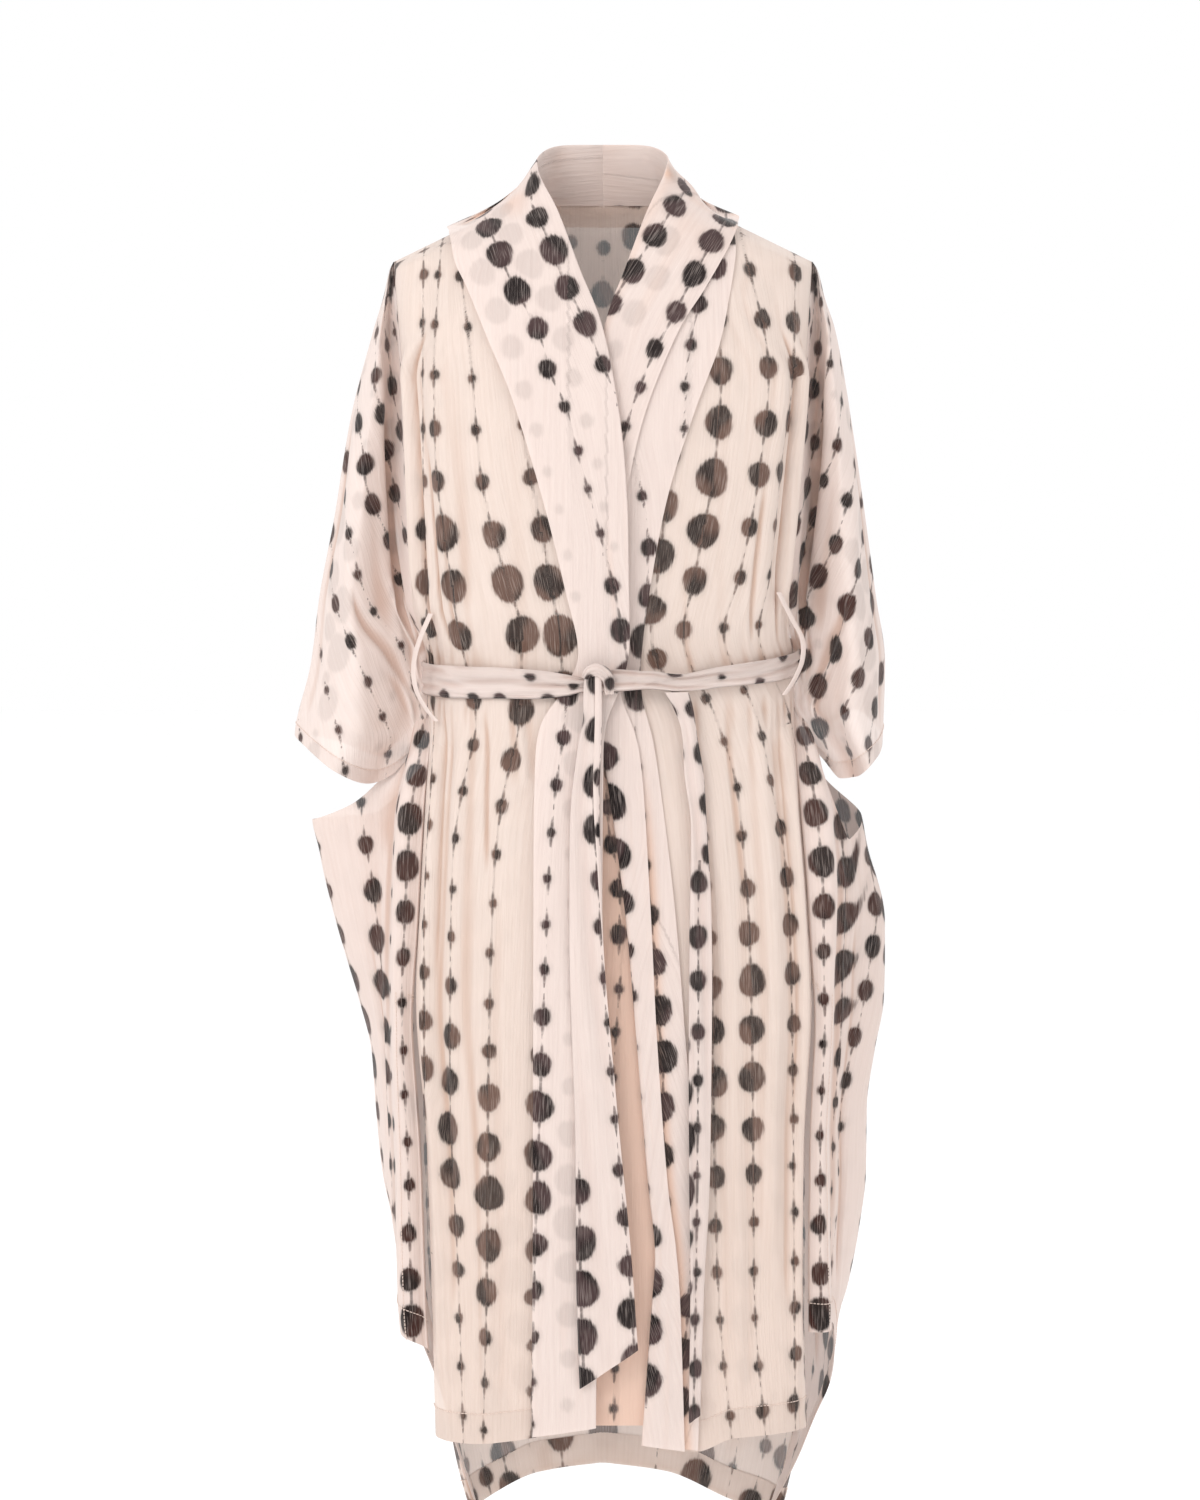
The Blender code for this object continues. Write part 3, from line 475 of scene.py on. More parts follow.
def chiffon(name, light, shade, fold, ink, alpha):
    """Crinkle chiffon: fine lengthwise crinkle, dots whose ink breaks along it, and painted shade in its
    fold colour wherever the valley attribute marks creases and shaded places.
    """
    made, tree, shader = new_finish(name, Roughness=0.82, Specular_IOR_Level=0.22, Sheen_Weight=0.18,
                                    Sheen_Roughness=0.45, Alpha=alpha)
    flat = add_node(tree, "ShaderNodeUVMap", {"uv_map": "flat"}).outputs[0]
    marks = add_node(tree, "ShaderNodeAttribute", {"attribute_name": "print"}).outputs["Vector"]
    marks = add_node(tree, "ShaderNodeSeparateXYZ", None, Vector=marks)
    valley = add_node(tree, "ShaderNodeAttribute", {"attribute_name": "valley"}).outputs["Fac"]
    ghost = add_node(tree, "ShaderNodeAttribute", {"attribute_name": "ghost"}).outputs["Fac"]
    crinkle = noise_node(tree, flat, CRINKLE, 2.0)
    fine = noise_node(tree, flat, FINE_CRINKLE, 1.0)
    ragged = noise_node(tree, flat, RAGGED, 2.0)
    ragged = math_node(tree, "MULTIPLY_ADD", ragged, 2.0 * RAGGED_DEPTH, -RAGGED_DEPTH)
    edge = math_node(tree, "ADD", marks.outputs["X"], ragged)
    dot = ramp_node(tree, edge, -0.0022, 0.0012, 1.0, 0.0)
    blush = ramp_node(tree, edge, -0.001, 0.0045, 0.12, 0.0)
    width = ramp_node(tree, marks.outputs["X"], 0.0, 0.010, 0.0022, 0.0008)
    inner = math_node(tree, "MULTIPLY", width, 0.3)
    line = ramp_node(tree, marks.outputs["Y"], inner, width, 1.0, 0.0)
    dash = math_node(tree, "MULTIPLY", ragged, 1240.0)
    dash = math_node(tree, "MULTIPLY_ADD", marks.outputs["Z"], 560.0, dash)
    dash = ramp_node(tree, math_node(tree, "SINE", dash), -0.1, 0.6, 0.0, 0.75)
    tail = ramp_node(tree, marks.outputs["X"], 0.001, 0.008, 0.8, 0.0)
    line = math_node(tree, "MULTIPLY", line, math_node(tree, "MAXIMUM", dash, tail))
    streak = ramp_node(tree, fine, 0.48, 0.72, 1.0, 0.82)
    soak = ramp_node(tree, noise_node(tree, flat, SOAK, 0.0), 0.38, 0.62, 0.0, 1.0)
    inked = mix_node(tree, soak, *(tuple(share * part for part in ink) for share in INK_SHARES))
    under = ramp_node(tree, math_node(tree, "ADD", ghost, ragged), -0.003, 0.002, 0.15, 0.0)
    stain = dot
    for mark in (line, blush, under):
        stain = math_node(tree, "MAXIMUM", stain, mark)
    stain = math_node(tree, "MULTIPLY", stain, streak)
    tone = mix_node(tree, crinkle, shade, light)
    # Painted shade: the tone darkens towards the fold colour by the valley attribute
    tone = mix_node(tree, math_node(tree, "MULTIPLY", valley, 0.62), tone, fold)
    tree.links.new(mix_node(tree, stain, tone, inked), shader.inputs["Base Color"])
    height = math_node(tree, "MULTIPLY_ADD", fine, 0.35, crinkle)
    bump = add_node(tree, "ShaderNodeBump", None, Height=height, Strength=0.6, Distance=0.0008)
    tree.links.new(bump.outputs[0], shader.inputs["Normal"])
    return made


# Each chiffon's third colour, its fold colour, is painted shade for creases and shaded places
sheer_chiffon = chiffon("sheer_chiffon", (0.83, 0.70, 0.63), (0.73, 0.595, 0.52),
                        (0.54, 0.33, 0.23), (0.090, 0.049, 0.036), 0.88)


def smoothed(values, axis, reach):
    """Values averaged with their neighbours along one direction of a grid."""
    padded = np.concatenate([values.take([0] * reach, axis), values, values.take([-1] * reach, axis)], axis)
    total = np.cumsum(np.concatenate([0.0 * padded.take([0], axis), padded], axis), axis)
    count = values.shape[axis]
    wide = 2 * reach + 1
    return (total.take(np.arange(count) + wide, axis) - total.take(np.arange(count), axis)) / wide


def crease_shade(grid, out):
    """Painted shade in the creases: how far each point lies in a crease, from 0 to 1."""
    around = smoothed(smoothed(grid, 1, 5), 0, 3)
    return np.clip(((around - grid) * out).sum(axis=-1) / VALLEY_DEPTH, 0.0, 1.0)


def placed(name, data):
    """An object of the given data, in the scene."""
    made = bpy.data.objects.new(name, data)
    bpy.context.scene.collection.objects.link(made)
    return made


def cloth_piece(name, node, layers, finish, toward):
    """A mesh object of one or more layers of cloth, each a grid of points with its print.

    It stands for the named node, whose imported part it hides, and takes the given finish.
    """
    points, quads, flat, marks, painted_shade, ghosts = [], [], [], [], [], []
    base = 0
    for grid, prints in layers:
        rows, columns = grid.shape[:2]
        index = base + np.arange(rows * columns).reshape(rows, columns)
        cells = np.stack([index[:-1, :-1], index[:-1, 1:], index[1:, 1:], index[1:, :-1]], axis=-1)
        square = np.cross(np.gradient(grid, axis=1), np.gradient(grid, axis=0))
        if (square * np.array(toward)).sum() < 0.0:
            cells = cells[:, :, ::-1]
        points.append(grid.reshape(-1, 3))
        quads.append(cells.reshape(-1, 4))
        flat.append(prints["flat"].reshape(-1, 2))
        marks.append(prints["print"].reshape(-1, 3))
        ghosts.append(prints["ghost"].ravel())
        shade = np.maximum(crease_shade(grid, facing_out(grid, toward)), prints.get("shade", 0.0))
        painted_shade.append(shade.ravel())
        base += rows * columns
    points, quads, flat = np.concatenate(points), np.concatenate(quads), np.concatenate(flat)
    mesh = bpy.data.meshes.new(name)
    mesh.from_pydata(points.tolist(), [], quads.tolist())
    mesh.polygons.foreach_set("use_smooth", np.ones(len(quads), bool))
    measure = mesh.uv_layers.new(name="flat")
    measure.data.foreach_set("uv", flat[quads.ravel()].astype(np.float32).ravel())
    ink = mesh.attributes.new("print", "FLOAT_VECTOR", "POINT")
    ink.data.foreach_set("vector", np.concatenate(marks).astype(np.float32).ravel())
    # Painted shade: the valley attribute darkens creases, and the shaded places a piece gives, towards its
    # chiffon's fold colour
    for attribute, values in (("valley", painted_shade), ("ghost", ghosts)):
        made = mesh.attributes.new(attribute, "FLOAT", "POINT")
        made.data.foreach_set("value", np.concatenate(values).astype(np.float32))
    mesh.materials.append(finish)
    mesh.update()
    made = placed(name, mesh)
    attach(made, "root")
    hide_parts(node)
    return made


# Stitching: pale thread in short stitches along hems and facings
STITCH_SIZES = {"Pitch": 0.0033, "Long": 0.0022, "Wide": 0.0006}
STITCH_LIFT = 0.0003


def thread_finish(name, light, shade):
    """Sewing thread: its colour varies a little from stitch to stitch."""
    made, tree, shader = new_finish(name, Roughness=0.65, Sheen_Weight=0.1)
    where = add_node(tree, "ShaderNodeTexCoord").outputs["Object"]
    twist = add_node(tree, "ShaderNodeTexNoise", None, Vector=where, Scale=420.0, Detail=2.0).outputs["Fac"]
    tree.links.new(mix_node(tree, twist, shade, light), shader.inputs["Base Color"])
    bump = add_node(tree, "ShaderNodeBump", None, Height=twist, Strength=0.5, Distance=0.0002)
    tree.links.new(bump.outputs[0], shader.inputs["Normal"])
    return made


def stitch_nodes():
    """Geometry nodes that set stitches along the lines of a mesh, with named sizes."""
    tree = bpy.data.node_groups.new("stitches", "GeometryNodeTree")
    for name, kind in (("Lines", "Geometry"), ("Pitch", "Float"), ("Long", "Float"), ("Wide", "Float"),
                       ("Seed", "Int"), ("Thread", "Material")):
        tree.interface.new_socket(name, in_out="INPUT", socket_type="NodeSocket" + kind)
    tree.interface.new_socket("Stitches", in_out="OUTPUT", socket_type="NodeSocketGeometry")
    given = add_node(tree, "NodeGroupInput").outputs
    curves = add_node(tree, "GeometryNodeMeshToCurve", None, Mesh=given["Lines"]).outputs[0]
    spots = add_node(tree, "GeometryNodeCurveToPoints", {"mode": "LENGTH"},
                     Curve=curves, Length=given["Pitch"])
    size = add_node(tree, "ShaderNodeCombineXYZ", None, X=given["Wide"], Y=given["Wide"], Z=given["Long"])
    stitch = add_node(tree, "GeometryNodeMeshCube", None, Size=size.outputs[0])
    vary = add_node(tree, "FunctionNodeRandomValue", {"data_type": "FLOAT"},
                    _2=0.85, _3=1.15, Seed=given["Seed"])
    placed = add_node(tree, "GeometryNodeInstanceOnPoints", None, Points=spots.outputs["Points"],
                      Instance=stitch.outputs["Mesh"], Rotation=spots.outputs["Rotation"],
                      Scale=vary.outputs[1])
    whole = add_node(tree, "GeometryNodeRealizeInstances", None, Geometry=placed.outputs[0])
    painted = add_node(tree, "GeometryNodeSetMaterial", None,
                       Geometry=whole.outputs[0], Material=given["Thread"])
    add_node(tree, "NodeGroupOutput", None, Stitches=painted.outputs[0])
    return tree


pale_thread = thread_finish("pale_thread", (0.80, 0.66, 0.58), (0.66, 0.51, 0.44))
stitches = stitch_nodes()


def hem_line(grid, toward, depth):
    """The line of stitches that holds a turned hem, just off the outside of a panel."""
    return (grid + STITCH_LIFT * facing_out(grid, toward))[-hem_rows(grid, depth)]


def stitched(name, lines, seed):
    """A mesh object of stitches along the given lines of points."""
    edges = []
    base = 0
    for line in lines:
        edges += [(base + k, base + k + 1) for k in range(len(line) - 1)]
        base += len(line)
    guide_mesh = bpy.data.meshes.new(name + "_lines")
    guide_mesh.from_pydata(np.concatenate(lines).tolist(), edges, [])
    guide = placed(name + "_lines", guide_mesh)
    modifier = guide.modifiers.new("stitches", "NODES")
    modifier.node_group = stitches
    given = dict(STITCH_SIZES, Seed=seed, Thread=pale_thread)
    for socket in stitches.interface.items_tree:
        if socket.name in given:
            modifier[socket.identifier] = given[socket.name]
    seen = guide.evaluated_get(bpy.context.evaluated_depsgraph_get())
    made = placed(name, bpy.data.meshes.new_from_object(seen))
    bpy.data.objects.remove(guide)
    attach(made, "root")
    return made


def back_y(x, z):
    """Depth of the back panel, without its creases."""
    edge = np.where(x < 0.0, at(BACK_EDGE, "right", z), at(BACK_EDGE, "left", z))
    return arch(x, edge, at(BACK_EDGE, "y", z), at(DEPTH, "back", z))


def on_seam(y, z, edge, reach):
    """Depths of a panel with its last column drawn onto the seam curve that its neighbours share."""
    return y + (at(edge, "y", z[:, -1:]) - y[:, -1:]) * reach


def back_points(rows, columns):
    """Points of the back panel, shoulders and neck to hem."""
    neck_z = np.linspace(SHOULDER_NECK_Z, BACK_FOOT, rows)[:, None]
    across = np.linspace(0.0, 1.0, columns)[None, :]
    edge_z = shoulder_z(neck_z, SHOULDER_TIP_OUT)
    half = np.abs(2.0 * across - 1.0)
    right = -row_places(0.0, at(BACK_EDGE, "right", edge_z), half, neck_z)
    left = row_places(0.0, at(BACK_EDGE, "left", edge_z), half, neck_z)
    x = np.where(across < 0.5, right, left)
    z = shoulder_z(neck_z, x)
    hem = at(BACK_HEM, "z", np.abs(x), "out") - BACK_FOOT
    z = z + hem * ease(-0.950, BACK_FOOT, neck_z)
    seam = arch(x, SHOULDER_NECK_OUT, 0.0, at(DEPTH, "back", SHOULDER_NECK_Z))
    blend = np.clip((SHOULDER_NECK_Z - neck_z) / 0.014, 0.0, 1.0) ** 0.7
    y = seam + (back_y(x, z) - seam) * blend
    reach = np.clip(2.0 * across - 1.0, 0.0, 1.0) ** SEAM_REACH
    y = on_seam(y, z, BACK_EDGE, reach)
    y = on_seam(y[:, ::-1], z[:, ::-1], BACK_EDGE, reach)[:, ::-1]
    grid = np.stack([x, y, z], axis=-1)
    depth = crease_depths(BACK_CREASES, across, neck_z) + gathers(across, neck_z, WAIST_Z, 0.0030, 3, 34)
    depth = (depth + soft_hang(across, neck_z, 0.0018, 4, 40)) * ease(*SHOULDER_CALM, neck_z)
    depth = depth * ease(1.0, 0.95, half)
    return grid + facing_out(grid, BACKWARD) * depth[:, :, None]


# The first rows, at the shoulder seams, have no thread
BARE_ROWS = 14
back_grid = back_points(330, 150)
back_crests = [0.30, 0.11, 0.42, 0.22, 0.05, 0.36, 0.18, 0.45, 0.27, 0.09, 0.39, 0.15, 0.33]
back_print = printed(back_grid, straight_strings(back_grid, back_crests), 11)
back_print["print"][:BARE_ROWS, :, 1] = NO_MARK
back = cloth_piece("back_panel", "back", [
    (back_grid, back_print),
    hem_layer(back_grid, BACKWARD, HEM_TURN, back_crests[::-1], 12),
], sheer_chiffon, BACKWARD)
back_stitches = stitched("back_stitching", [hem_line(back_grid, BACKWARD, HEM_TURN)], 13)

# Fronts: two panels from the shoulder seams to a level hem, right over left, joined to the back only at
# the shoulders and under the arms. The belt draws them in, and their hems are turned up and stitched.
FRONT_FOOT = -1.100
LAP = 0.0090
FRONT_EDGE = table(EDGE_COLUMNS, [(z, right, left, front) for z, right, left, front, back in SEAM_ROWS] + [
    (-0.530, 0.157, 0.174, -0.080),
    (-0.620, 0.162, 0.181, -0.090),
    (-0.710, 0.166, 0.185, -0.095),
    (-0.840, 0.157, 0.179, -0.095),
    (-0.940, 0.154, 0.178, -0.094),
    (-1.110, 0.150, 0.183, -0.090),
])
FRONT_INNER = table("z right left", [
    (-0.012, 0.085, 0.085),
    (-0.032, 0.060, 0.059),
    (-0.066, 0.038, 0.036),
    (-0.117, 0.017, 0.016),
    (-0.194, 0.002, 0.003),
    (-0.260, -0.004, -0.005),
    (-0.390, -0.006, -0.008),
    (-0.430, 0.004, 0.001),
    (-0.460, 0.016, 0.009),
    (-0.550, 0.019, 0.023),
    (-0.615, 0.020, 0.030),
    (-0.700, 0.021, 0.037),
    (-0.790, 0.022, 0.044),
    (-0.860, 0.022, 0.051),
    (-0.935, 0.023, 0.057),
    (-1.110, 0.026, 0.049),
])
FRONT_HEM = table("out right left", [
    (0.000, -1.086, -1.100),
    (0.035, -1.090, -1.105),
    (0.083, -1.099, -1.110),
    (0.117, -1.104, -1.099),
    (0.185, -1.106, -1.097),
])
FRONT_CREASES = {
    "right": table(CREASE_COLUMNS, [
        (0.86, 0.80, -0.080, -0.385, 0.007, 0.060),
        (0.79, 0.72, -0.090, -0.405, -0.007, 0.018),
        (0.74, 0.66, -0.100, -0.375, -0.003, 0.050),
        (0.66, 0.60, -0.210, -0.410, -0.005, 0.012),
        (0.62, 0.52, -0.110, -0.385, 0.005, 0.060),
        (0.55, 0.545, -0.260, -0.410, -0.003, 0.012),
        (0.84, 0.86, -0.445, -0.800, -0.005, 0.018),
        (0.76, 0.74, -0.445, -1.080, 0.006, 0.060),
        (0.69, 0.66, -0.440, -0.700, -0.0025, 0.014),
        (0.63, 0.61, -0.440, -1.000, -0.003, 0.045),
        (0.55, 0.50, -0.445, -0.900, 0.005, 0.055),
        (0.40, 0.36, -0.440, -0.600, -0.003, 0.014),
        (0.36, 0.38, -0.600, -1.100, 0.004, 0.060),
        (0.24, 0.20, -0.440, -0.520, 0.003, 0.016),
    ]),
    "left": table(CREASE_COLUMNS, [
        (0.86, 0.82, -0.080, -0.385, 0.007, 0.060),
        (0.93, 0.88, -0.090, -0.405, -0.007, 0.017),
        (0.80, 0.74, -0.090, -0.405, -0.006, 0.015),
        (0.76, 0.71, -0.100, -0.375, -0.003, 0.050),
        (0.66, 0.60, -0.110, -0.385, 0.005, 0.060),
        (0.58, 0.54, -0.240, -0.410, -0.003, 0.014),
        (0.88, 0.92, -0.440, -0.800, -0.006, 0.018),
        (0.78, 0.78, -0.445, -1.080, 0.006, 0.060),
        (0.71, 0.72, -0.440, -0.820, -0.0025, 0.014),
        (0.67, 0.66, -0.440, -1.000, -0.003, 0.045),
        (0.56, 0.52, -0.445, -0.950, 0.005, 0.055),
        (0.38, 0.40, -0.440, -0.640, -0.002, 0.016),
        (0.30, 0.32, -0.500, -1.090, 0.004, 0.045),
    ]),
}
# Strings of dots: how far out at each height, and the heights of their crests above and below the belt
STRING_HEIGHTS = (-0.039, -0.156, -0.239, -0.293, -0.337, -0.382, -0.462, -0.521, -0.580, -0.650, -0.780,
                  -0.962, -1.115)
FRONT_STRINGS = {
    "right": [
        ((.185, .184, .183, .183, .182, .182, .182, .180, .181, .182, .182, .182, .182), -0.117, -0.511),
        ((.158, .158, .158, .157, .156, .155, .150, .152, .156, .158, .158, .156, .150), -0.382, -0.805),
        ((.142, .148, .146, .139, .133, .127, .112, .124, .132, .134, .135, .128, .124), -0.3395, -0.820),
        ((.128, .114, .107, .096, .083, .071, .074, .087, .095, .098, .101, .103, .107), -0.3830, -0.876),
        ((.085, .076, .064, .053, .046, .038, .034, .042, .047, .050, .055, .061, .064), -0.3810, -0.838),
        ((.050, .035, .022, .014, .008, .002, .000, .004, .008, .010, .012, .014, .018), -0.117, -0.611),
    ],
    "left": [
        ((.188, .187, .186, .186, .186, .186, .190, .194, .196, .198, .200, .200, .198), -0.312, -0.631),
        ((.170, .167, .156, .151, .146, .137, .166, .176, .182, .186, .188, .186, .182), -0.155, -0.611),
        ((.122, .145, .137, .128, .118, .106, .137, .149, .160, .165, .168, .170, .172), -0.198, -0.641),
        ((.095, .103, .097, .087, .079, .070, .101, .118, .124, .129, .132, .134, .146), -0.244, -0.733),
        ((.066, .064, .058, .052, .047, .042, .074, .084, .090, .095, .097, .102, .116), -0.313, -0.776),
    ],
}
FRONT_GROW = {"right": (0.6, 0.75, 0.95, 1.0, 1.0, 0.5), "left": (0.6, 0.7, 0.70, 1.0, 0.9)}
BELT_LEVEL = -0.430
UPPER_PITCH = 0.0462
LOWER_PITCH = 0.0430
LOWER_GROW = 0.90
FRONT_SHADE = 0.20


def front_y(out, z, side):
    """Depth of a front panel, without its creases."""
    lap = LAP if side == "right" else 0.0
    return arch(out, at(FRONT_EDGE, side, z), at(FRONT_EDGE, "y", z), -at(DEPTH, "front", z) - lap)


def front_points(side, rows, columns, seed):
    """Points of a front panel, shoulder to hem."""
    neck_z = np.linspace(SHOULDER_NECK_Z, FRONT_FOOT, rows)[:, None]
    across = np.linspace(0.0, 1.0, columns)[None, :]
    edge_z = shoulder_z(neck_z, SHOULDER_TIP_OUT)
    out = row_places(at(FRONT_INNER, side, neck_z), at(FRONT_EDGE, side, edge_z), across, neck_z)
    z = shoulder_z(neck_z, out)
    hem = at(FRONT_HEM, side, np.clip(out, 0.0, 1.0), "out") - FRONT_FOOT
    z = z + hem * ease(-0.900, FRONT_FOOT, neck_z)
    blend = np.clip((SHOULDER_NECK_Z - neck_z) / 0.007, 0.0, 1.0) ** 0.7
    y = on_seam(front_y(out, z, side) * blend, z, FRONT_EDGE, across**SEAM_REACH)
    grid = np.stack([SIDES[side] * out, y, z], axis=-1)
    depth = crease_depths(FRONT_CREASES[side], across, neck_z)
    depth = depth + gathers(across, neck_z, WAIST_Z, 0.0020, seed, 20, 0.048) * ease(0.10, 0.30, across)
    depth = depth + soft_hang(across, neck_z, 0.0014, seed + 1)
    depth = depth * ease(*SHOULDER_CALM, neck_z) * ease(1.0, 0.95, across)
    return grid + facing_out(grid, FORWARD) * depth[:, :, None]


def front_strings(grid, side):
    """The strings of dots on a front panel, spaced on their own above and below the belt."""
    strings = []
    for (outs, upper, lower), grow in zip(FRONT_STRINGS[side], FRONT_GROW[side]):
        place = charted(grid, side, STRING_HEIGHTS, outs)
        strings.append(hung(grid, place, upper, foot_z=BELT_LEVEL, pitch=UPPER_PITCH, grow=grow))
        strings.append(hung(grid, place, lower, top_z=BELT_LEVEL, pitch=LOWER_PITCH,
                            grow=LOWER_GROW * grow))
    return strings


for side, seed in (("right", 21), ("left", 31)):
    grid = front_points(side, 440, 104, seed)
    prints = printed(grid, front_strings(grid, side), seed + 2)
    # Painted shade: the fronts darken towards the hem
    prints["shade"] = FRONT_SHADE * ease(-0.600, -0.950, grid[:, :, 2])
    panel = cloth_piece(side + "_front_panel", side + "_front", [
        (grid, prints),
        hem_layer(grid, FORWARD, HEM_TURN, TURN_CRESTS, seed + 3),
    ], sheer_chiffon, FORWARD)
    sewn = stitched(side + "_front_stitching", [hem_line(grid, FORWARD, HEM_TURN)], seed + 4)

# Sleeves: wide elbow-length sleeves cut on a slant, set into long armholes and hanging open beside the
# waist. Each is one piece folded round the arm, with a narrow stitched hem.
SLEEVE = table("z right left valley_out valley_y lobe_y", [
    (-0.061, 0.1866, 0.1866, 0.0003, -0.0006, -0.0010),
    (-0.068, 0.190, 0.191, 0.0025, -0.0055, -0.0090),
    (-0.094, 0.196, 0.198, 0.006, -0.014, -0.024),
    (-0.120, 0.2035, 0.2068, 0.009, -0.018, -0.036),
    (-0.200, 0.2245, 0.2224, 0.013, -0.020, -0.048),
    (-0.290, 0.240, 0.237, 0.016, -0.021, -0.055),
    (-0.360, 0.254, 0.2475, 0.018, -0.024, -0.060),
    (-0.420, 0.262, 0.256, 0.020, -0.032, -0.064),
    (-0.485, 0.277, 0.2545, 0.022, -0.036, -0.066),
    (-0.530, 0.279, 0.250, 0.024, -0.038, -0.066),
])
SLEEVE_ROOT = table("z right left y", [
    (-0.415, 0.158, 0.170, -0.026),
    (-0.450, 0.157, 0.170, -0.026),
    (-0.475, 0.159, 0.180, -0.030),
    (-0.505, 0.174, 0.196, -0.030),
    (-0.530, 0.184, 0.203, -0.032),
])
SLEEVE_ENDS = table("along top right_hem left_hem", [
    (0.000, -0.061, -0.500, -0.500),
    (0.080, -0.061, -0.517, -0.520),
    (0.180, -0.061, -0.524, -0.518),
    (0.330, -0.061, -0.508, -0.505),
    (0.500, -0.061, -0.485, -0.490),
    (0.670, -0.061, -0.500, -0.470),
    (0.820, -0.061, -0.510, -0.480),
    (0.920, -0.061, -0.455, -0.440),
    (1.000, -0.061, -0.402, -0.388),
])
SLEEVE_CREASES = table(CREASE_COLUMNS, [
    (0.30, 0.16, -0.120, -0.440, 0.005, 0.030),
    (0.24, 0.10, -0.180, -0.420, -0.005, 0.020),
    (0.42, 0.26, -0.200, -0.520, 0.004, 0.030),
    (0.36, 0.12, -0.330, -0.470, -0.005, 0.024),
    (0.22, 0.06, -0.330, -0.440, 0.004, 0.016),
    (0.17, 0.04, -0.300, -0.410, -0.004, 0.013),
    (0.30, 0.08, -0.380, -0.480, 0.004, 0.016),
    (0.48, 0.44, -0.180, -0.500, -0.003, 0.022),
    (0.58, 0.66, -0.160, -0.460, -0.005, 0.035),
    (0.70, 0.82, -0.140, -0.450, 0.005, 0.030),
    (0.80, 0.90, -0.220, -0.430, -0.004, 0.025),
])
SLEEVE_HEM_TURN = 0.012
# Strings of dots on the sleeves: spacing along the ring, largest size, lengths to the crests
SLEEVE_PITCH = 0.039
SLEEVE_FIRST = 0.04
SLEEVE_SLANT = -0.92
SLEEVE_STRINGS = {
    "right": (0.165, 0.60, [0.10, 0.34, 0.20, 0.19, 0.21, 0.17, 0.29, 0.24, 0.24, 0.02, 0.24, 0.37]),
    "left": (0.150, 0.72, [0.10, 0.34, 0.20, 0.30, 0.34, 0.37, 0.40, 0.36, 0.41, 0.28, 0.24, 0.37, 0.15]),
}
# Dots of a sleeve's far half that show through: place along the ring at the top, slant, length to the crest
SLEEVE_GHOSTS = [(0.30, 0.10, 0.36), (0.12, 0.10, 0.16), (0.46, -0.06, 0.24), (0.66, 0.08, 0.30)]


def ring_points(side, ring, ends, shape, top, hem):
    """Points of a hanging piece between its top and hem, through the ring of points at each height."""
    share = np.linspace(0.0, 1.0, shape[0])[:, None]
    along = np.linspace(0.0, 1.0, shape[1])[None, :]
    top_z, hem_z = at(ends, top, along, "along"), at(ends, hem, along, "along")
    z = top_z + (hem_z - top_z) * share
    knots = np.array([[part + 0.0 * z for part in point] for point in ring(side, z)])
    knots = with_ends(knots)
    place = np.clip(along[0] * (len(knots) - 3), 0.0, len(knots) - 3 - 1e-9)
    cell = place.astype(int)
    t = place - cell
    column = np.arange(shape[1])
    a, b, c, d = (np.moveaxis(knots[cell + k, :, :, column], 0, -1) for k in range(4))
    out, y = through(a, b, c, d, t)
    return np.stack([SIDES[side] * out, y, z], axis=-1), along, z


def sleeve_ring(side, z):
    """Plan points of the sleeve at a height: armhole, valley, lobe, tip, lobe, valley, armhole."""
    free = ease(-0.385, -0.415, z)
    root_out = (1 - free) * at(FRONT_EDGE, side, z) + free * at(SLEEVE_ROOT, side, z)
    front_root = (1 - free) * at(FRONT_EDGE, "y", z) + free * at(SLEEVE_ROOT, "y", z)
    back_root = (1 - free) * at(BACK_EDGE, "y", z) - free * at(SLEEVE_ROOT, "y", z)
    tip = at(SLEEVE, side, z)
    valley = root_out + at(SLEEVE, "valley_out", z)
    lobe = valley + 0.55 * (tip - valley)
    valley_y, lobe_y = at(SLEEVE, "valley_y", z), at(SLEEVE, "lobe_y", z)
    return [(root_out, front_root), (valley, valley_y), (lobe, lobe_y), (tip, 0.004),
            (lobe, -1.05 * lobe_y), (valley, -1.1 * valley_y), (root_out, back_root)]


free_chiffon = chiffon("free_chiffon", (0.86, 0.74, 0.69), (0.77, 0.64, 0.585),
                       (0.56, 0.35, 0.26), (0.032, 0.011, 0.008), 0.91)
for side, seed in (("right", 41), ("left", 51)):
    grid, along, level = ring_points(side, sleeve_ring, SLEEVE_ENDS, (190, 136), "top", side + "_hem")
    toward = (SIDES[side], 0, 0)
    depth = crease_depths(SLEEVE_CREASES, along, level)
    depth = depth + soft_hang(along, level, 0.0022, seed, 30, 0.09)
    depth = depth * ease(-0.075, -0.130, level) * ease(0.0, 0.06, along) * ease(1.0, 0.94, along)
    grid = grid + facing_out(grid, toward) * depth[:, :, None]
    spacing, grow, crests = SLEEVE_STRINGS[side]
    strings = [string(slanting(grid, SLEEVE_FIRST + spacing * k, SLEEVE_SLANT), crest, pitch=SLEEVE_PITCH,
                      grow=grow) for k, crest in enumerate(crests)]
    strings += [string(slanting(grid, top, slant), crest, faint=True)
                for top, slant, crest in SLEEVE_GHOSTS]
    sleeve = cloth_piece(side + "_sleeve_cloth", side + "_sleeve", [
        (grid, printed(grid, strings, seed + 2)),
        hem_layer(grid, toward, SLEEVE_HEM_TURN, TURN_CRESTS, seed + 3),
    ], free_chiffon, toward)
    sewn = stitched(side + "_sleeve_stitching", [hem_line(grid, toward, SLEEVE_HEM_TURN)], seed + 4)

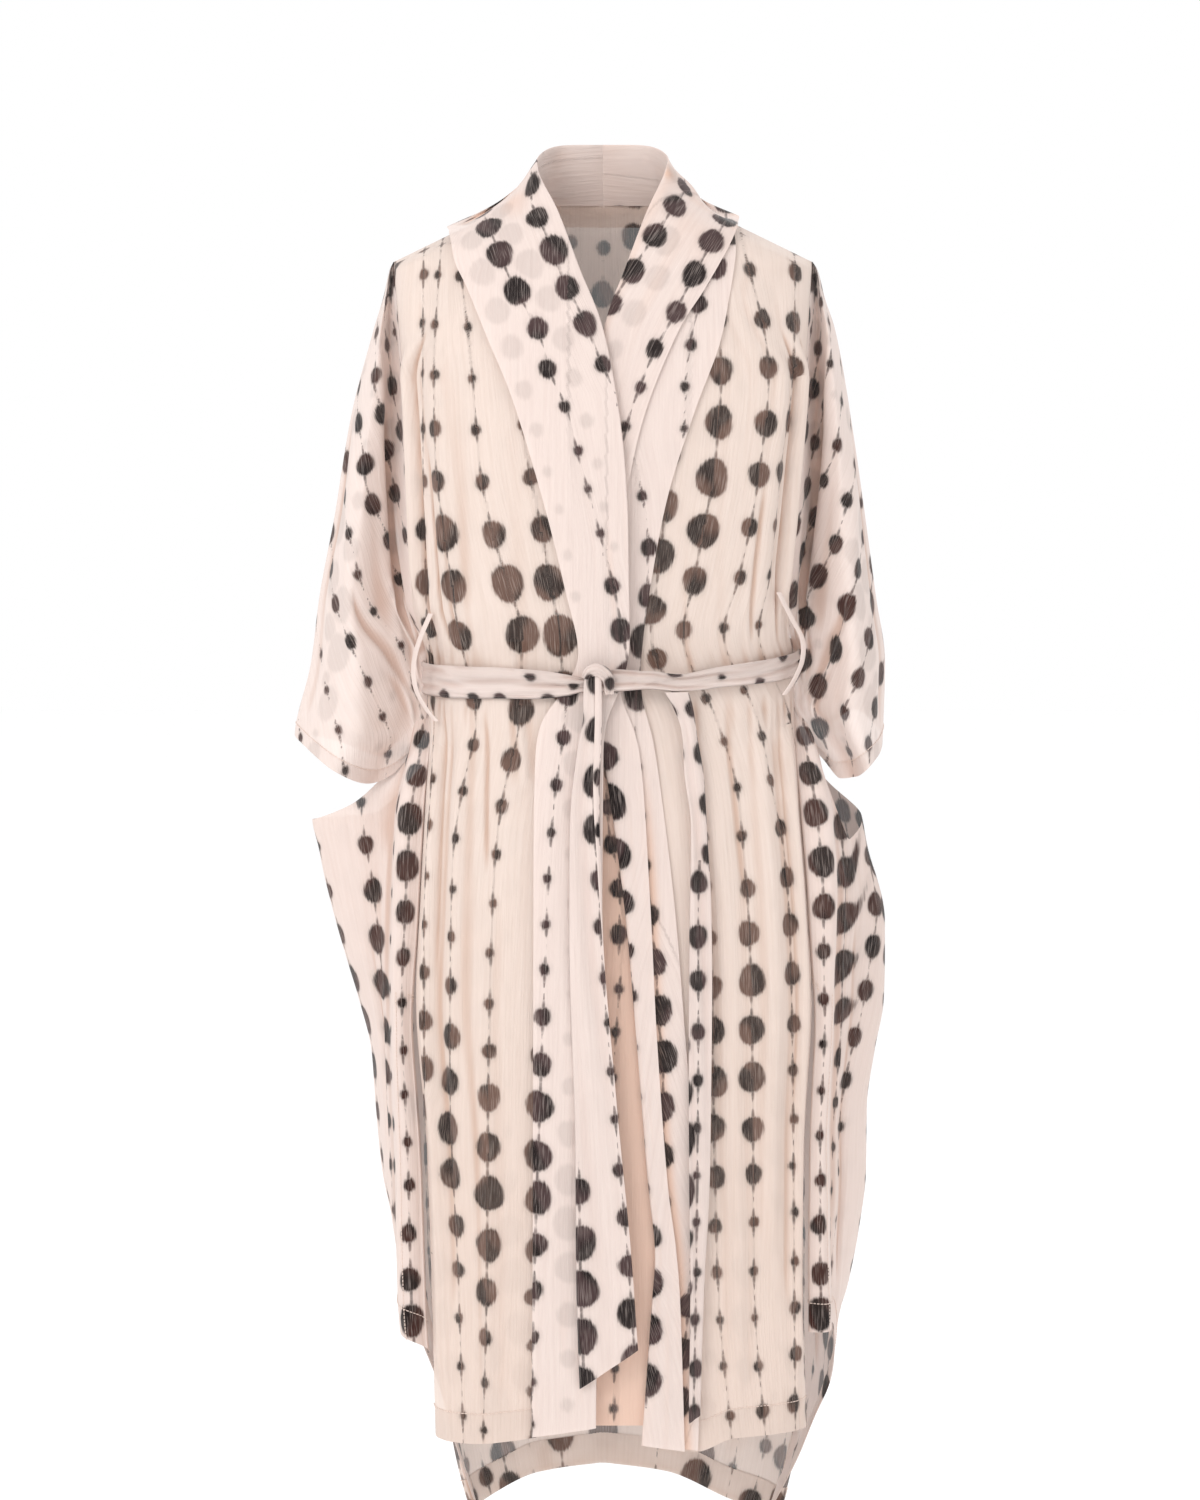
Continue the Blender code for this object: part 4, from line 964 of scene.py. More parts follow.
# Side drapes: the fullness below each sleeve, hanging in a fold from the waist between front and back.
# It stands away from the body, opens in a vent above the hem, and its front edge is faced double.
SIDE = table("z right left ridge_right ridge_left vent", [
    (-0.440, 0.240, 0.196, 0.008, 0.010, 0.0),
    (-0.500, 0.262, 0.212, 0.016, 0.019, 0.0),
    (-0.560, 0.262, 0.233, 0.023, 0.026, 0.0),
    (-0.590, 0.255, 0.238, 0.023, 0.026, 0.0),
    (-0.655, 0.239, 0.252, 0.022, 0.022, 0.0),
    (-0.690, 0.229, 0.252, 0.020, 0.018, 0.001),
    (-0.727, 0.218, 0.251, 0.017, 0.016, 0.003),
    (-0.773, 0.207, 0.243, 0.019, 0.016, 0.004),
    (-0.828, 0.203, 0.236, 0.021, 0.016, 0.005),
    (-0.883, 0.198, 0.236, 0.022, 0.018, 0.005),
    (-0.940, 0.187, 0.230, 0.023, 0.019, 0.005),
    (-0.985, 0.181, 0.222, 0.023, 0.020, 0.005),
    (-1.030, 0.172, 0.212, 0.022, 0.020, 0.004),
    (-1.086, 0.158, 0.206, 0.020, 0.018, 0.004),
    (-1.145, 0.148, 0.190, 0.018, 0.016, 0.004),
    (-1.240, 0.120, 0.160, 0.016, 0.014, 0.004),
])
SIDE_ENDS = table("along right_top left_top right_hem left_hem", [
    (0.000, -0.441, -0.440, -1.031, -1.010),
    (0.143, -0.444, -0.455, -1.024, -1.010),
    (0.286, -0.449, -0.480, -1.014, -1.010),
    (0.429, -0.492, -0.526, -1.012, -1.015),
    (0.571, -0.543, -0.576, -1.016, -1.035),
    (0.714, -0.562, -0.556, -1.036, -1.100),
    (0.857, -0.562, -0.524, -1.110, -1.170),
    (1.000, -0.515, -0.458, -1.228, -1.230),
])
SIDE_CREASES = table(CREASE_COLUMNS, [
    (0.36, 0.33, -0.500, -0.900, -0.004, 0.030),
    (0.46, 0.44, -0.560, -0.960, 0.005, 0.040),
    (0.56, 0.52, -0.620, -1.000, -0.004, 0.030),
    (0.76, 0.74, -0.560, -1.050, 0.006, 0.045),
    (0.86, 0.85, -0.580, -1.100, -0.004, 0.030),
])
# Strings of dots on the drapes: place along the ring at top and foot, length to the crest, largest size
SIDE_STRINGS = {
    "right": [
        (0.215, 0.215, 0.134, 0.82),
        (0.390, 0.390, 0.482, 0.60),
        (0.550, 0.380, 0.168, 0.85),
        (0.700, 0.700, 0.190, 0.80),
        (0.800, 0.780, 0.100, 0.80),
        (0.920, 0.900, 0.300, 0.80),
    ],
    "left": [
        (0.215, 0.215, 0.104, 0.88),
        (0.500, 0.370, 0.090, 0.88),
        (0.700, 0.400, 0.120, 0.70),
        (0.715, 0.715, 0.050, 0.74),
        (0.800, 0.780, 0.100, 0.80),
        (0.920, 0.900, 0.300, 0.80),
    ],
}
DRAPE_PITCH = 0.0412
VENT_TOP = {"right": -0.705, "left": -0.683}
VENT_FACING = 0.027
TACK_LENGTH = 0.012
# Painted shade on the drapes: a little all over, more along the seam and in the vent, and beside the front
# pleat
DRAPE_SHADE = 0.18
SEAM_SHADE = 0.75
VENT_SHADE = 0.25
PLEAT_SHADE = 0.8
PLEAT_ALONG = 0.335
SHADE_WIDTH = 0.022


def side_ring(side, z):
    """Plan points of the side drape at a height: seam, ridge, valley, fold, back seam."""
    seam = at(FRONT_EDGE, side, z) + at(SIDE, "vent", z)
    seam_y = at(FRONT_EDGE, "y", z)
    ridge = at(SIDE, "ridge_" + side, z)
    tip = at(SIDE, side, z)
    valley = seam + ridge + 0.004
    back_out = at(BACK_EDGE, side, z)
    back_edge = at(BACK_EDGE, "y", z)
    return [(seam, seam_y), (seam + 0.10 * ridge, seam_y - 0.42 * ridge),
            (seam + ridge, seam_y - 0.22 * ridge), (valley, 0.45 * seam_y),
            (0.5 * (valley + tip), 0.30 * seam_y), (tip, 0.004),
            (0.5 * (back_out + tip), 0.55 * back_edge), (back_out, back_edge)]


def edge_cells(grid, start_z, width):
    """The row where a drape's vent starts, and how many columns of points reach the width from its edge."""
    row = int(np.searchsorted(-grid[:, 0, 2], -start_z))
    spread = np.linalg.norm(np.diff(grid[row:], axis=1), axis=-1).mean(axis=0).cumsum()
    return row, int(np.searchsorted(spread, width)) + 2


def faced(grid, toward, start_z, width):
    """The doubled facing inside the front edge of a drape, below its vent."""
    inside = grid - TURN_INSET * facing_out(grid, toward)
    row, count = edge_cells(grid, start_z, width)
    return np.concatenate([grid[row:, :1], inside[row:, 1:count]], axis=1)


def drape_shade(along, level, vent_z):
    """Painted shade on a drape: a little all over, more along its seam, deeper in the open vent, and along
    the far side of its front pleat.
    """
    seam = (SEAM_SHADE + VENT_SHADE * (level < vent_z)) * np.exp(-(along / SHADE_WIDTH) ** 2)
    pleat = PLEAT_SHADE * np.exp(-((along - PLEAT_ALONG) / SHADE_WIDTH) ** 2)
    return np.maximum(np.maximum(seam, pleat), DRAPE_SHADE)


def vent_lines(grid, toward, start_z):
    """Stitch lines of a vent: down its facing, and a bar tack of three short rows across its top."""
    outside = grid + STITCH_LIFT * facing_out(grid, toward)
    row, count = edge_cells(grid, start_z, VENT_FACING)
    _, short = edge_cells(grid, start_z, TACK_LENGTH)
    return [outside[row:, count - 1]] + [outside[row + k, :short] for k in range(3)]


for side, seed in (("right", 61), ("left", 71)):
    grid, along, level = ring_points(side, side_ring, SIDE_ENDS, (230, 120), side + "_top", side + "_hem")
    toward = (SIDES[side], 0, 0)
    depth = crease_depths(SIDE_CREASES, along, level) + soft_hang(along, level, 0.0020, seed, 30)
    depth = depth * ease(0.0, 0.10, along) * ease(1.0, 0.93, along)
    grid = grid + facing_out(grid, toward) * depth[:, :, None]
    facing = faced(grid, toward, VENT_TOP[side], VENT_FACING)
    strings = [string(slanting(grid, top, foot - top), crest, pitch=DRAPE_PITCH, grow=grow)
               for top, foot, crest, grow in SIDE_STRINGS[side]]
    drape = cloth_piece(side + "_side_drape", side + "_side", [
        (grid, dict(printed(grid, strings, seed + 2), shade=drape_shade(along, level, VENT_TOP[side]))),
        hem_layer(grid, toward, HEM_TURN, TURN_CRESTS, seed + 3),
        (facing, printed(facing, straight_strings(facing, [0.05], 0.2), seed + 4)),
    ], free_chiffon, toward)
    lines = [hem_line(grid, toward, HEM_TURN)] + vent_lines(grid, toward, VENT_TOP[side])
    sewn = stitched(side + "_drape_stitching", lines, seed + 5)

# Neck and front bands: a long folded strip of the same chiffon, seamed behind the neck and rolled over
# as a shawl collar, then lying flat down each front edge. Two layers show each other's dots faintly.
BAND_UNDER = 0.0036
BAND_OVER = 0.0066
NECK_SEAM = [(0.0006, 0.0752, -0.0130), (0.0610, 0.0586, -0.0130), (0.0860, 0.000, -0.0130)]
NECK_UNDER = [(0.0006, 0.0700, 0.012), (0.0440, 0.0500, 0.002), (0.0573, 0.003, 0.0008)]
NECK_ROLL = [(0.0006, 0.0660, 0.040), (0.0400, 0.0510, 0.039), (0.0560, 0.004, 0.031)]
NECK_OVER = [(0.0006, 0.0800, 0.014), (0.0520, 0.0640, 0.004), (0.0620, 0.002, -0.001)]
NECK_FALL = [(0.0006, 0.0965, -0.034), (0.0830, 0.0830, -0.033), (0.1320, 0.001, -0.0295)]
LEFT_NECK_FALL = (0.1155, 0.001, -0.0205)
BAND_COLUMNS = "roll_out roll_z seam_out seam_z fall_out fall_z"
BANDS = {
    "right": table(BAND_COLUMNS, [
        (0.0540, 0.020, 0.087, -0.016, 0.1325, -0.0375),
        (0.0500, 0.008, 0.088, -0.026, 0.1315, -0.0460),
        (0.038, -0.018, 0.090, -0.050, 0.127, -0.062),
        (0.020, -0.066, 0.086, -0.090, 0.117, -0.084),
        (0.000, -0.117, 0.076, -0.140, 0.099, -0.127),
        (-0.0147, -0.194, 0.062, -0.203, 0.077, -0.180),
        (-0.0208, -0.2635, 0.043, -0.270, 0.051, -0.266),
        (-0.0222, -0.330, 0.026, -0.340, 0.033, -0.340),
        (-0.0226, -0.395, 0.016, -0.397, 0.0215, -0.397),
        (-0.0140, -0.430, 0.030, -0.430, 0.0345, -0.430),
        (-0.0020, -0.465, 0.050, -0.465, 0.0545, -0.465),
        (0.0000, -0.520, 0.055, -0.520, 0.0595, -0.520),
        (0.0010, -0.650, 0.056, -0.650, 0.0605, -0.650),
        (0.0030, -0.800, 0.0565, -0.800, 0.061, -0.800),
        (0.0050, -0.950, 0.057, -0.950, 0.0615, -0.950),
        (0.0062, -1.084, 0.058, -1.092, 0.0625, -1.093),
    ]),
    "left": table(BAND_COLUMNS, [
        (0.0520, 0.020, 0.101, -0.0225, 0.1155, -0.030),
        (0.0480, 0.008, 0.112, -0.0320, 0.1145, -0.038),
        (0.037, -0.018, 0.1155, -0.052, 0.107, -0.052),
        (0.019, -0.066, 0.109, -0.094, 0.088, -0.084),
        (0.0017, -0.113, 0.100, -0.134, 0.064, -0.122),
        (-0.012, -0.190, 0.080, -0.186, 0.036, -0.190),
        (-0.020, -0.260, 0.057, -0.257, 0.021, -0.258),
        (-0.023, -0.330, 0.043, -0.328, 0.015, -0.330),
        (-0.023, -0.395, 0.034, -0.395, 0.014, -0.395),
        (-0.014, -0.437, 0.034, -0.437, 0.016, -0.437),
        (0.000, -0.490, 0.046, -0.490, 0.032, -0.490),
        (0.018, -0.615, 0.062, -0.615, 0.041, -0.615),
        (0.029, -0.735, 0.072, -0.735, 0.047, -0.735),
        (0.039, -0.860, 0.082, -0.860, 0.056, -0.860),
        (0.0455, -0.925, 0.087, -0.925, 0.064, -0.925),
        (0.0425, -0.980, 0.087, -0.980, 0.068, -0.980),
        (0.034, -1.102, 0.084, -1.108, 0.072, -1.108),
    ]),
}


def spline(points, along):
    """Points on a smooth curve through the given points, along running from 0 to 1."""
    points = np.asarray(points, float)
    padded = with_ends(points)
    place = np.clip(np.asarray(along, float) * (len(points) - 1), 0.0, len(points) - 1 - 1e-9)
    cell = place.astype(int)
    t = (place - cell).reshape(-1, *([1] * (points.ndim - 1)))
    return through(*(padded[cell + k] for k in range(4)), t)


def on_front(out, z, side, off):
    """Points lying off a front panel by the given distances."""
    step = 0.002
    across = (front_y(out + step, z, side) - front_y(out - step, z, side)) / (2 * step)
    down = (front_y(out, z + step, side) - front_y(out, z - step, side)) / (2 * step)
    across, down = np.clip(across, -2.0, 2.0), np.clip(down, -2.0, 2.0)
    length = np.sqrt(across**2 + down**2 + 1.0)
    return np.stack([SIDES[side] * (out + off * across / length), front_y(out, z, side) - off / length,
                     z + off * down / length], axis=-1)


def lean(start, middle, end, share):
    """A point on the curve from start to end that leans towards the middle point."""
    start, middle, end = (np.array(p) for p in (start, middle, end))
    return (1 - share) ** 2 * start + 2 * share * (1 - share) * middle + share**2 * end


def neck_section(side, k):
    """Nine points across the band at the back neck: seam, up to the roll, down to the free edge."""
    fall = LEFT_NECK_FALL if side == "left" and k == 2 else NECK_FALL[k]
    rise = [lean(NECK_SEAM[k], NECK_UNDER[k], NECK_ROLL[k], t) for t in (0.0, 0.33, 0.66, 0.94)]
    drop = [lean(NECK_ROLL[k], NECK_OVER[k], fall, t) for t in (0.06, 0.34, 0.67, 1.0)]
    away = np.array([0.6, 0.2, 0.3]) if k == 2 else np.array([0.3 * k, 0.6, 0.3])
    drop = [point + 0.003 * away for point in drop]
    roll = np.array(NECK_ROLL[k]) + 0.0015 * away + np.array([0.0, 0.0, 0.0015])
    points = np.array(rise + [roll] + drop) * np.array([SIDES[side], 1.0, 1.0])
    points[:, 0] *= 1.0 if k else 0.0
    return points


def band_section(side, band, k):
    """Nine points across the folded band on a front panel: seam, roll, free edge."""
    def edge(name):
        return np.array([band[name + "_out"][k], band[name + "_z"][k]])
    seam, roll, fall = edge("seam"), edge("roll"), edge("fall")
    under = [seam + (roll - seam) * t for t in (0.0, 0.33, 0.66, 0.94)]
    over = [roll + (fall - roll) * t for t in (0.06, 0.34, 0.67, 1.0)]
    flat = np.array(under + [roll] + over)
    off = np.array([BAND_UNDER] * 4 + [(BAND_UNDER + BAND_OVER) / 2.0] + [BAND_OVER] * 4)
    return on_front(flat[:, 0], flat[:, 1], side, off)


def band_points(side, rows, columns):
    """Points of a band from the middle of the back neck to the front hem, seam to free edge."""
    band = BANDS[side]
    sections = [neck_section(side, k) for k in range(3)]
    sections += [band_section(side, band, k) for k in range(len(band["roll_out"]))]
    sections = np.array(sections)
    marks = run_of(sections.mean(axis=1))
    along = np.interp(np.linspace(0.0, 1.0, rows), marks / marks[-1], np.linspace(0.0, 1.0, len(sections)))
    length = spline(sections, along)
    return np.swapaxes(spline(np.swapaxes(length, 0, 1), np.linspace(0.0, 1.0, columns)), 0, 1)


doubled_chiffon = chiffon("doubled_chiffon", (0.84, 0.715, 0.66), (0.74, 0.61, 0.56),
                          (0.74, 0.44, 0.30), (0.040, 0.022, 0.022), 0.90)
BAND_ROWS = {"right": 490, "left": 510}
BAND_ROLL = 0.5
BAND_FRONT_Y = -0.03
COLLAR_FROM = -0.06
NECK_ENDS_Z = 0.020
COLLAR_PITCH = 0.0375
COLLAR_GROW = 0.79
BAND_PITCH = {"right": 0.0408, "left": 0.0430}
BAND_GROW = 0.88
# Strings of dots on the bands: layer, height of the crest, then heights and distances out
BAND_STRINGS = {
    "right": [
        ("over", -0.047, (-0.008, -0.042, -0.079, -0.107, -0.141, -0.174),
         (.063, .046, .032, .017, .003, -.012)),
        ("over", -0.053,
         (-0.018, -0.032, -0.062, -0.090, -0.119, -0.148, -0.184, -0.211, -0.259, -0.302),
         (.106, .099, .086, .071, .056, .048, .032, .025, .012, .000)),
        ("over", -0.452, (-0.313, -0.343, -0.384, -0.432), (-.003, -.010, -.018, -.026)),
        ("over", -0.838, (-0.412, -0.462, -0.521, -0.580, -0.650, -0.780, -0.962, -1.115),
         (.030, .034, .042, .047, .050, .055, .061, .064)),
        ("faint", -0.067, (-0.050, -0.067, -0.128, -0.158, -0.194, -0.223, -0.266, -0.355),
         (.114, .106, .0805, .0713, .0604, .0516, .0403, .0223)),
        ("faint", -0.060, (-0.020, -0.049, -0.082, -0.114, -0.151, -0.220, -0.255, -0.306),
         (.089, .0713, .0517, .0364, .0284, .006, .001, -.011)),
        ("faint", -0.900, (-0.44, -0.50, -0.80, -1.09), (.020, .026, .030, .032)),
    ],
    "left": [
        ("over", -0.037, (0.003, -0.014, -0.042, -0.069, -0.106), (.072, .060, .041, .023, .000)),
        ("over", -0.041, (-0.018, -0.044, -0.074, -0.102, -0.133, -0.168, -0.194, -0.273),
         (.112, .094, .077, .063, .046, .031, .022, .004)),
        ("under", -0.462, (-0.038, -0.101, -0.151, -0.188, -0.233, -0.303, -0.392),
         (.112, .082, .073, .071, .069, .060, .050)),
        ("under", -0.432, (-0.214, -0.254, -0.299, -0.339, -0.383, -0.442),
         (.022, .033, .039, .039, .036, .030)),
        ("over", -0.530,
         (-0.442, -0.489, -0.529, -0.579, -0.615, -0.656, -0.695, -0.764, -0.847, -0.924, -1.06),
         (-.012, .000, .005, .013, .017, .022, .026, .029, .033, .042, .038)),
        ("under", -0.755, (-0.472, -0.551, -0.592, -0.633, -0.672, -0.716, -0.761, -0.85, -0.91),
         (.028, .035, .039, .042, .0465, .0483, .0527, .0530, .0530)),
        ("under", -1.062, (-0.942, -0.988, -1.030, -1.070), (.077, .0746, .0702, .0658)),
        ("faint", -0.040, (0.000, -0.027, -0.063, -0.092, -0.119, -0.150),
         (.062, .0573, .050, .0328, .0175, .004)),
        ("faint", -0.290, (-0.240, -0.272, -0.308, -0.350), (.071, .0674, .0634, .053)),
        ("faint", -0.620, (-0.47, -0.51, -0.60, -0.64, -0.80), (.036, .046, .072, .078, .080)),
    ],
}


def band_strings(grid, side):
    """The strings of dots on a band, each on the layer that carries it."""
    middle = int(BAND_ROLL * (grid.shape[1] - 1))
    spans = {"under": (0, middle), "over": (middle, grid.shape[1] - 1)}
    spans["faint"] = spans["over"]
    neck_rows = int(np.argmax(grid[:, middle, 2] < NECK_ENDS_Z))
    strings = []
    for layer, crest, heights, outs in BAND_STRINGS[side]:
        place = charted(grid, side, heights, outs, *spans[layer])
        place[:neck_rows] = place[neck_rows]
        collar = heights[0] > COLLAR_FROM
        top = 1.0 if collar else heights[0]
        pitch, grow = (COLLAR_PITCH, COLLAR_GROW) if collar else (BAND_PITCH[side], BAND_GROW)
        strings.append(hung(grid, place, crest, top_z=top, foot_z=heights[-1], pitch=pitch, grow=grow,
                            faint=layer == "faint"))
    return strings


# Underlap: the left band runs on behind the wearer's right front, in its shade, which is painted all over
# it
UNDERLAP_TOP = -0.470
UNDERLAP_FOOT = -1.085
UNDERLAP_TUCK = 0.003
UNDERLAP_WIDTH = 0.048
UNDERLAP_OFF = 0.001
UNDER_ENDS = 0.45
UNDER_SHADE_FULL = -0.60
UNDER_SHADE_OFF = 0.002
UNDER_SHADE_WIDTH = 0.005
# Strings on it: heights, distances out, crest and ends by height, largest size
UNDERLAP_STRINGS = [
    ((-0.47, -0.56, -0.60, -0.66), (0.000, 0.006, 0.015, 0.014), -0.605, -0.47, -0.655, 0.58),
    ((-0.66, -0.70, -0.78, -1.08), (0.017, 0.014, 0.009, 0.010), -0.770, -0.69, -1.08, 0.32),
]


def underlap_points(rows, columns):
    """Points of the left band where it runs on behind the right front, from its roll inwards."""
    z = np.linspace(UNDERLAP_TOP, UNDERLAP_FOOT, rows)[:, None]
    share = np.linspace(0.0, 1.0, columns)[None, :]
    roll = at(BANDS["left"], "roll_out", z, "roll_z")
    return on_front(roll + UNDERLAP_TUCK - UNDERLAP_WIDTH * share, z + 0.0 * share, "left", UNDERLAP_OFF)


def underlap():
    """The underlap with its print, painted in shade all over."""
    grid = underlap_points(260, 24)
    strings = []
    for heights, outs, crest, top, foot, grow in UNDERLAP_STRINGS:
        place = charted(grid, "left", heights, outs)
        strings.append(hung(grid, place, crest, top, foot, pitch=COLLAR_PITCH, grow=grow))
    return grid, dict(printed(grid, strings, 97), shade=np.ones(grid.shape[:2]))


def under_shade(grid, side):
    """Painted shadow on a band's under layer, close beside the free edge of the layer over it."""
    z = grid[:, :, 2]
    beyond = SIDES[side] * grid[:, :, 0] - at(BANDS[side], "fall_out", z, "fall_z")
    under = np.linspace(0.0, 1.0, grid.shape[1])[None, :] < UNDER_ENDS
    low = ease(UNDERLAP_TOP, UNDER_SHADE_FULL, z)
    return under * low * np.exp(-((beyond - UNDER_SHADE_OFF) / UNDER_SHADE_WIDTH) ** 2)


for side, seed in (("right", 81), ("left", 91)):
    grid = band_points(side, BAND_ROWS[side], 84)
    across = np.linspace(0.0, 1.0, grid.shape[1])[None, :]
    level = grid[:, :, 2].mean(axis=1)[:, None]
    swell = soft_hang(across, level, 0.0007, seed, 40, 0.06) * ease(0.55, 0.65, across)
    grid = grid + np.array(FORWARD) * swell[:, :, None] * (grid[:, :, 1:2] < BAND_FRONT_Y)
    prints = dict(printed(grid, band_strings(grid, side), seed + 2), shade=under_shade(grid, side))
    layers = [(grid, prints)] + ([underlap()] if side == "left" else [])
    band = cloth_piece(side + "_band_cloth", side + "_band", layers, doubled_chiffon,
                       FORWARD)

# Belt: a soft sash of doubled chiffon, once round the waist and tied in front with a single strap knot.
# It lies in long creases that draw together at the knot.
BELT_HEIGHT = 0.030
BELT_OFF = 0.0045
BELT_FRONT_Y = -0.02
BELT = table("x z off tall", [
    (-0.170, -0.4300, 0.0120, 0.0290),
    (-0.120, -0.4270, 0.0130, 0.0285),
    (-0.080, -0.4252, 0.0160, 0.0270),
    (-0.055, -0.4254, 0.0182, 0.0250),
    (-0.030, -0.4257, 0.0185, 0.0190),
    (-0.017, -0.4252, 0.0185, 0.0135),
    (0.010, -0.4212, 0.0185, 0.0200),
    (0.037, -0.4211, 0.0175, 0.0165),
    (0.066, -0.4243, 0.0130, 0.0155),
    (0.102, -0.4206, 0.0078, 0.0185),
    (0.180, -0.4160, 0.0040, 0.0230),
])
# Folds where the sash doubles over itself: from and to along x, and across its height
BELT_FOLDS = table("start end start_height end_height", [
    (-0.080, -0.012, 0.46, -0.20),
    (0.026, 0.070, -0.42, 0.42),
])
# Dots on the belt: place along x in front, share round its section from the top edge, size
BELT_DOTS = [(-0.141, 0.47, 0.38), (-0.118, 0.48, 0.34), (-0.090, 0.47, 0.38), (-0.052, 0.49, 0.38),
             (-0.058, 0.13, 0.34), (-0.026, 0.24, 0.30), (0.063, 0.01, 0.40), (0.104, 0.26, 0.26),
             (0.135, 0.49, 0.34), (0.160, 0.02, 0.40)]
# Strings on its inside and on its back: share round its section, lengths to the crest and to both ends,
# largest size, whether a thread shows
BELT_STRINGS = [(0.76, 0.10, -1.0, 9.0, 0.60, False), (0.20, 0.46, 0.30, 0.68, 0.55, True)]


def belt_points(columns, rows):
    """Points of the belt once round the waist, the outside from top to bottom and the inside back up."""
    turn = np.linspace(0.0, 2.0 * np.pi, columns)
    power = 2.0 / ROUNDNESS
    across = np.sign(np.sin(turn)) * np.abs(np.sin(turn)) ** power
    deep = np.sign(np.cos(turn)) * np.abs(np.cos(turn)) ** power
    edge = np.where(across < 0.0, at(FRONT_EDGE, "right", WAIST_Z), at(FRONT_EDGE, "left", WAIST_Z))
    x = across * edge
    z, off = at(BELT, "z", x, "x"), at(BELT, "off", x, "x")
    front_edge, back_edge = at(FRONT_EDGE, "y", z), at(BACK_EDGE, "y", z)
    front = front_edge - (at(DEPTH, "front", z) + off + front_edge) * np.abs(deep)
    behind = back_edge + (at(DEPTH, "back", z) + BELT_OFF - back_edge) * np.abs(deep)
    middle = np.stack([across * (edge + BELT_OFF), np.where(deep > 0.0, front, behind), z], axis=-1)
    out = np.gradient(middle, axis=0)
    out = np.stack([out[:, 1], -out[:, 0], 0.0 * z], axis=-1)
    out /= np.linalg.norm(out, axis=1)[:, None] + 1e-12
    out *= np.sign((out * middle).sum(axis=1))[:, None]
    knot = np.exp(-((x + 0.008) / 0.045) ** 2) * (deep > 0.0)
    tall = at(BELT, "tall", x, "x")
    tall = tall + (BELT_HEIGHT - tall) * ease(0.35, -0.35, deep)
    lap = np.linspace(0.0, 1.0, rows)
    height = 0.5 - 2.0 * np.minimum(lap, 1.0 - lap)
    face = np.where(lap < 0.5, 1.0, -1.0) * np.sqrt(np.clip(1.0 - np.abs(2.0 * height) ** 6, 0.0, 1.0))
    place = 3.0 * turn
    broad = 2.2 * height[:, None] + 0.35 * np.sin(place)[None, :]
    narrow = 3.6 * height[:, None] - 0.5 * np.sin(1.7 * place + 1.0)[None, :]
    crease = 0.0009 * np.sin(2.0 * np.pi * broad) + 0.0007 * np.sin(2.0 * np.pi * narrow)
    thick = 0.0010 * face[:, None] + crease * (1.0 + 0.8 * knot)[None, :]
    for k in range(len(BELT_FOLDS["start"])):
        share = (x - BELT_FOLDS["start"][k]) / (BELT_FOLDS["end"][k] - BELT_FOLDS["start"][k])
        rise = BELT_FOLDS["end_height"][k] - BELT_FOLDS["start_height"][k]
        fold = BELT_FOLDS["start_height"][k] + rise * share
        shown = ease(0.0, 0.1, share) * ease(1.0, 0.9, share) * (deep > 0.0)
        above = ease(-0.04, 0.04, height[:, None] - fold[None, :])
        thick = thick + 0.0016 * above * shown[None, :] * (lap < 0.5)[:, None]
    grid = middle[None] + thick[:, :, None] * out[None]
    grid[:, :, 2] = z[None, :] + height[:, None] * tall[None, :]
    return grid


sash_chiffon = chiffon("sash_chiffon", (0.84, 0.715, 0.66), (0.74, 0.61, 0.56),
                       (0.68, 0.52, 0.46), (0.040, 0.022, 0.022), 0.90)
belt_grid = belt_points(460, 33)
belt_cross = np.swapaxes(belt_grid, 0, 1)
belt_line = belt_cross[:, 0]
belt_run = run_of(belt_line)
belt_front = np.flatnonzero(belt_line[:, 1] < BELT_FRONT_Y)
belt_front = belt_front[np.argsort(belt_line[belt_front, 0])]
belt_strings = [string(slanting(belt_cross, share), crest, first, last, grow=grow, thread=thread)
                for share, crest, first, last, grow, thread in BELT_STRINGS]
for x, share, grow in BELT_DOTS:
    spot = np.interp(x, belt_line[belt_front, 0], belt_run[belt_front])
    belt_strings.append(lone_dot(belt_cross, share, spot, grow))
belt_print = printed(belt_cross, belt_strings, 101)
belt = cloth_piece("belt_sash", "belt", [(belt_cross, belt_print)], sash_chiffon,
                   ALL_ROUND)

# Knot and tails: the belt is tied once, so a creased strap crosses it in front and the two ends hang
# down, the wearer's right one broad with a slanted end, the left one narrow and twisted on itself.
KNOT = table("along x z off half_width", [
    (0.00, 0.0054, -0.4330, 0.0130, 0.0040),
    (0.20, 0.0052, -0.4235, 0.0160, 0.0048),
    (0.45, 0.0012, -0.4140, 0.0200, 0.0056),
    (0.65, -0.0060, -0.4105, 0.0215, 0.0056),
    (0.85, -0.0128, -0.4130, 0.0200, 0.0046),
    (1.00, -0.0155, -0.4190, 0.0160, 0.0030),
])
TAILS = {
    "right": table("z x width off", [
        (-0.4120, -0.0090, 0.0140, 0.0160),
        (-0.4300, -0.0092, 0.0150, 0.0165),
        (-0.4520, -0.0092, 0.0152, 0.0168),
        (-0.480, -0.0118, 0.0195, 0.0145),
        (-0.540, -0.0160, 0.0250, 0.0125),
        (-0.640, -0.0150, 0.029, 0.0115),
        (-0.800, -0.0065, 0.036, 0.0110),
        (-0.950, 0.0010, 0.048, 0.0110),
        (-1.030, 0.0050, 0.051, 0.0110),
    ]),
    "left": table("z x width off", [
        (-0.4330, 0.0620, 0.0200, 0.0150),
        (-0.4480, 0.0680, 0.0165, 0.0125),
        (-0.4700, 0.0735, 0.0130, 0.0120),
        (-0.5080, 0.0785, 0.0168, 0.0110),
        (-0.5460, 0.0825, 0.0140, 0.0105),
        (-0.6200, 0.0842, 0.0185, 0.0105),
        (-0.7000, 0.0845, 0.0200, 0.0105),
        (-0.850, 0.0840, 0.0185, 0.0105),
        (-0.970, 0.0820, 0.012, 0.0105),
        (-1.078, 0.0800, 0.010, 0.0105),
    ]),
}
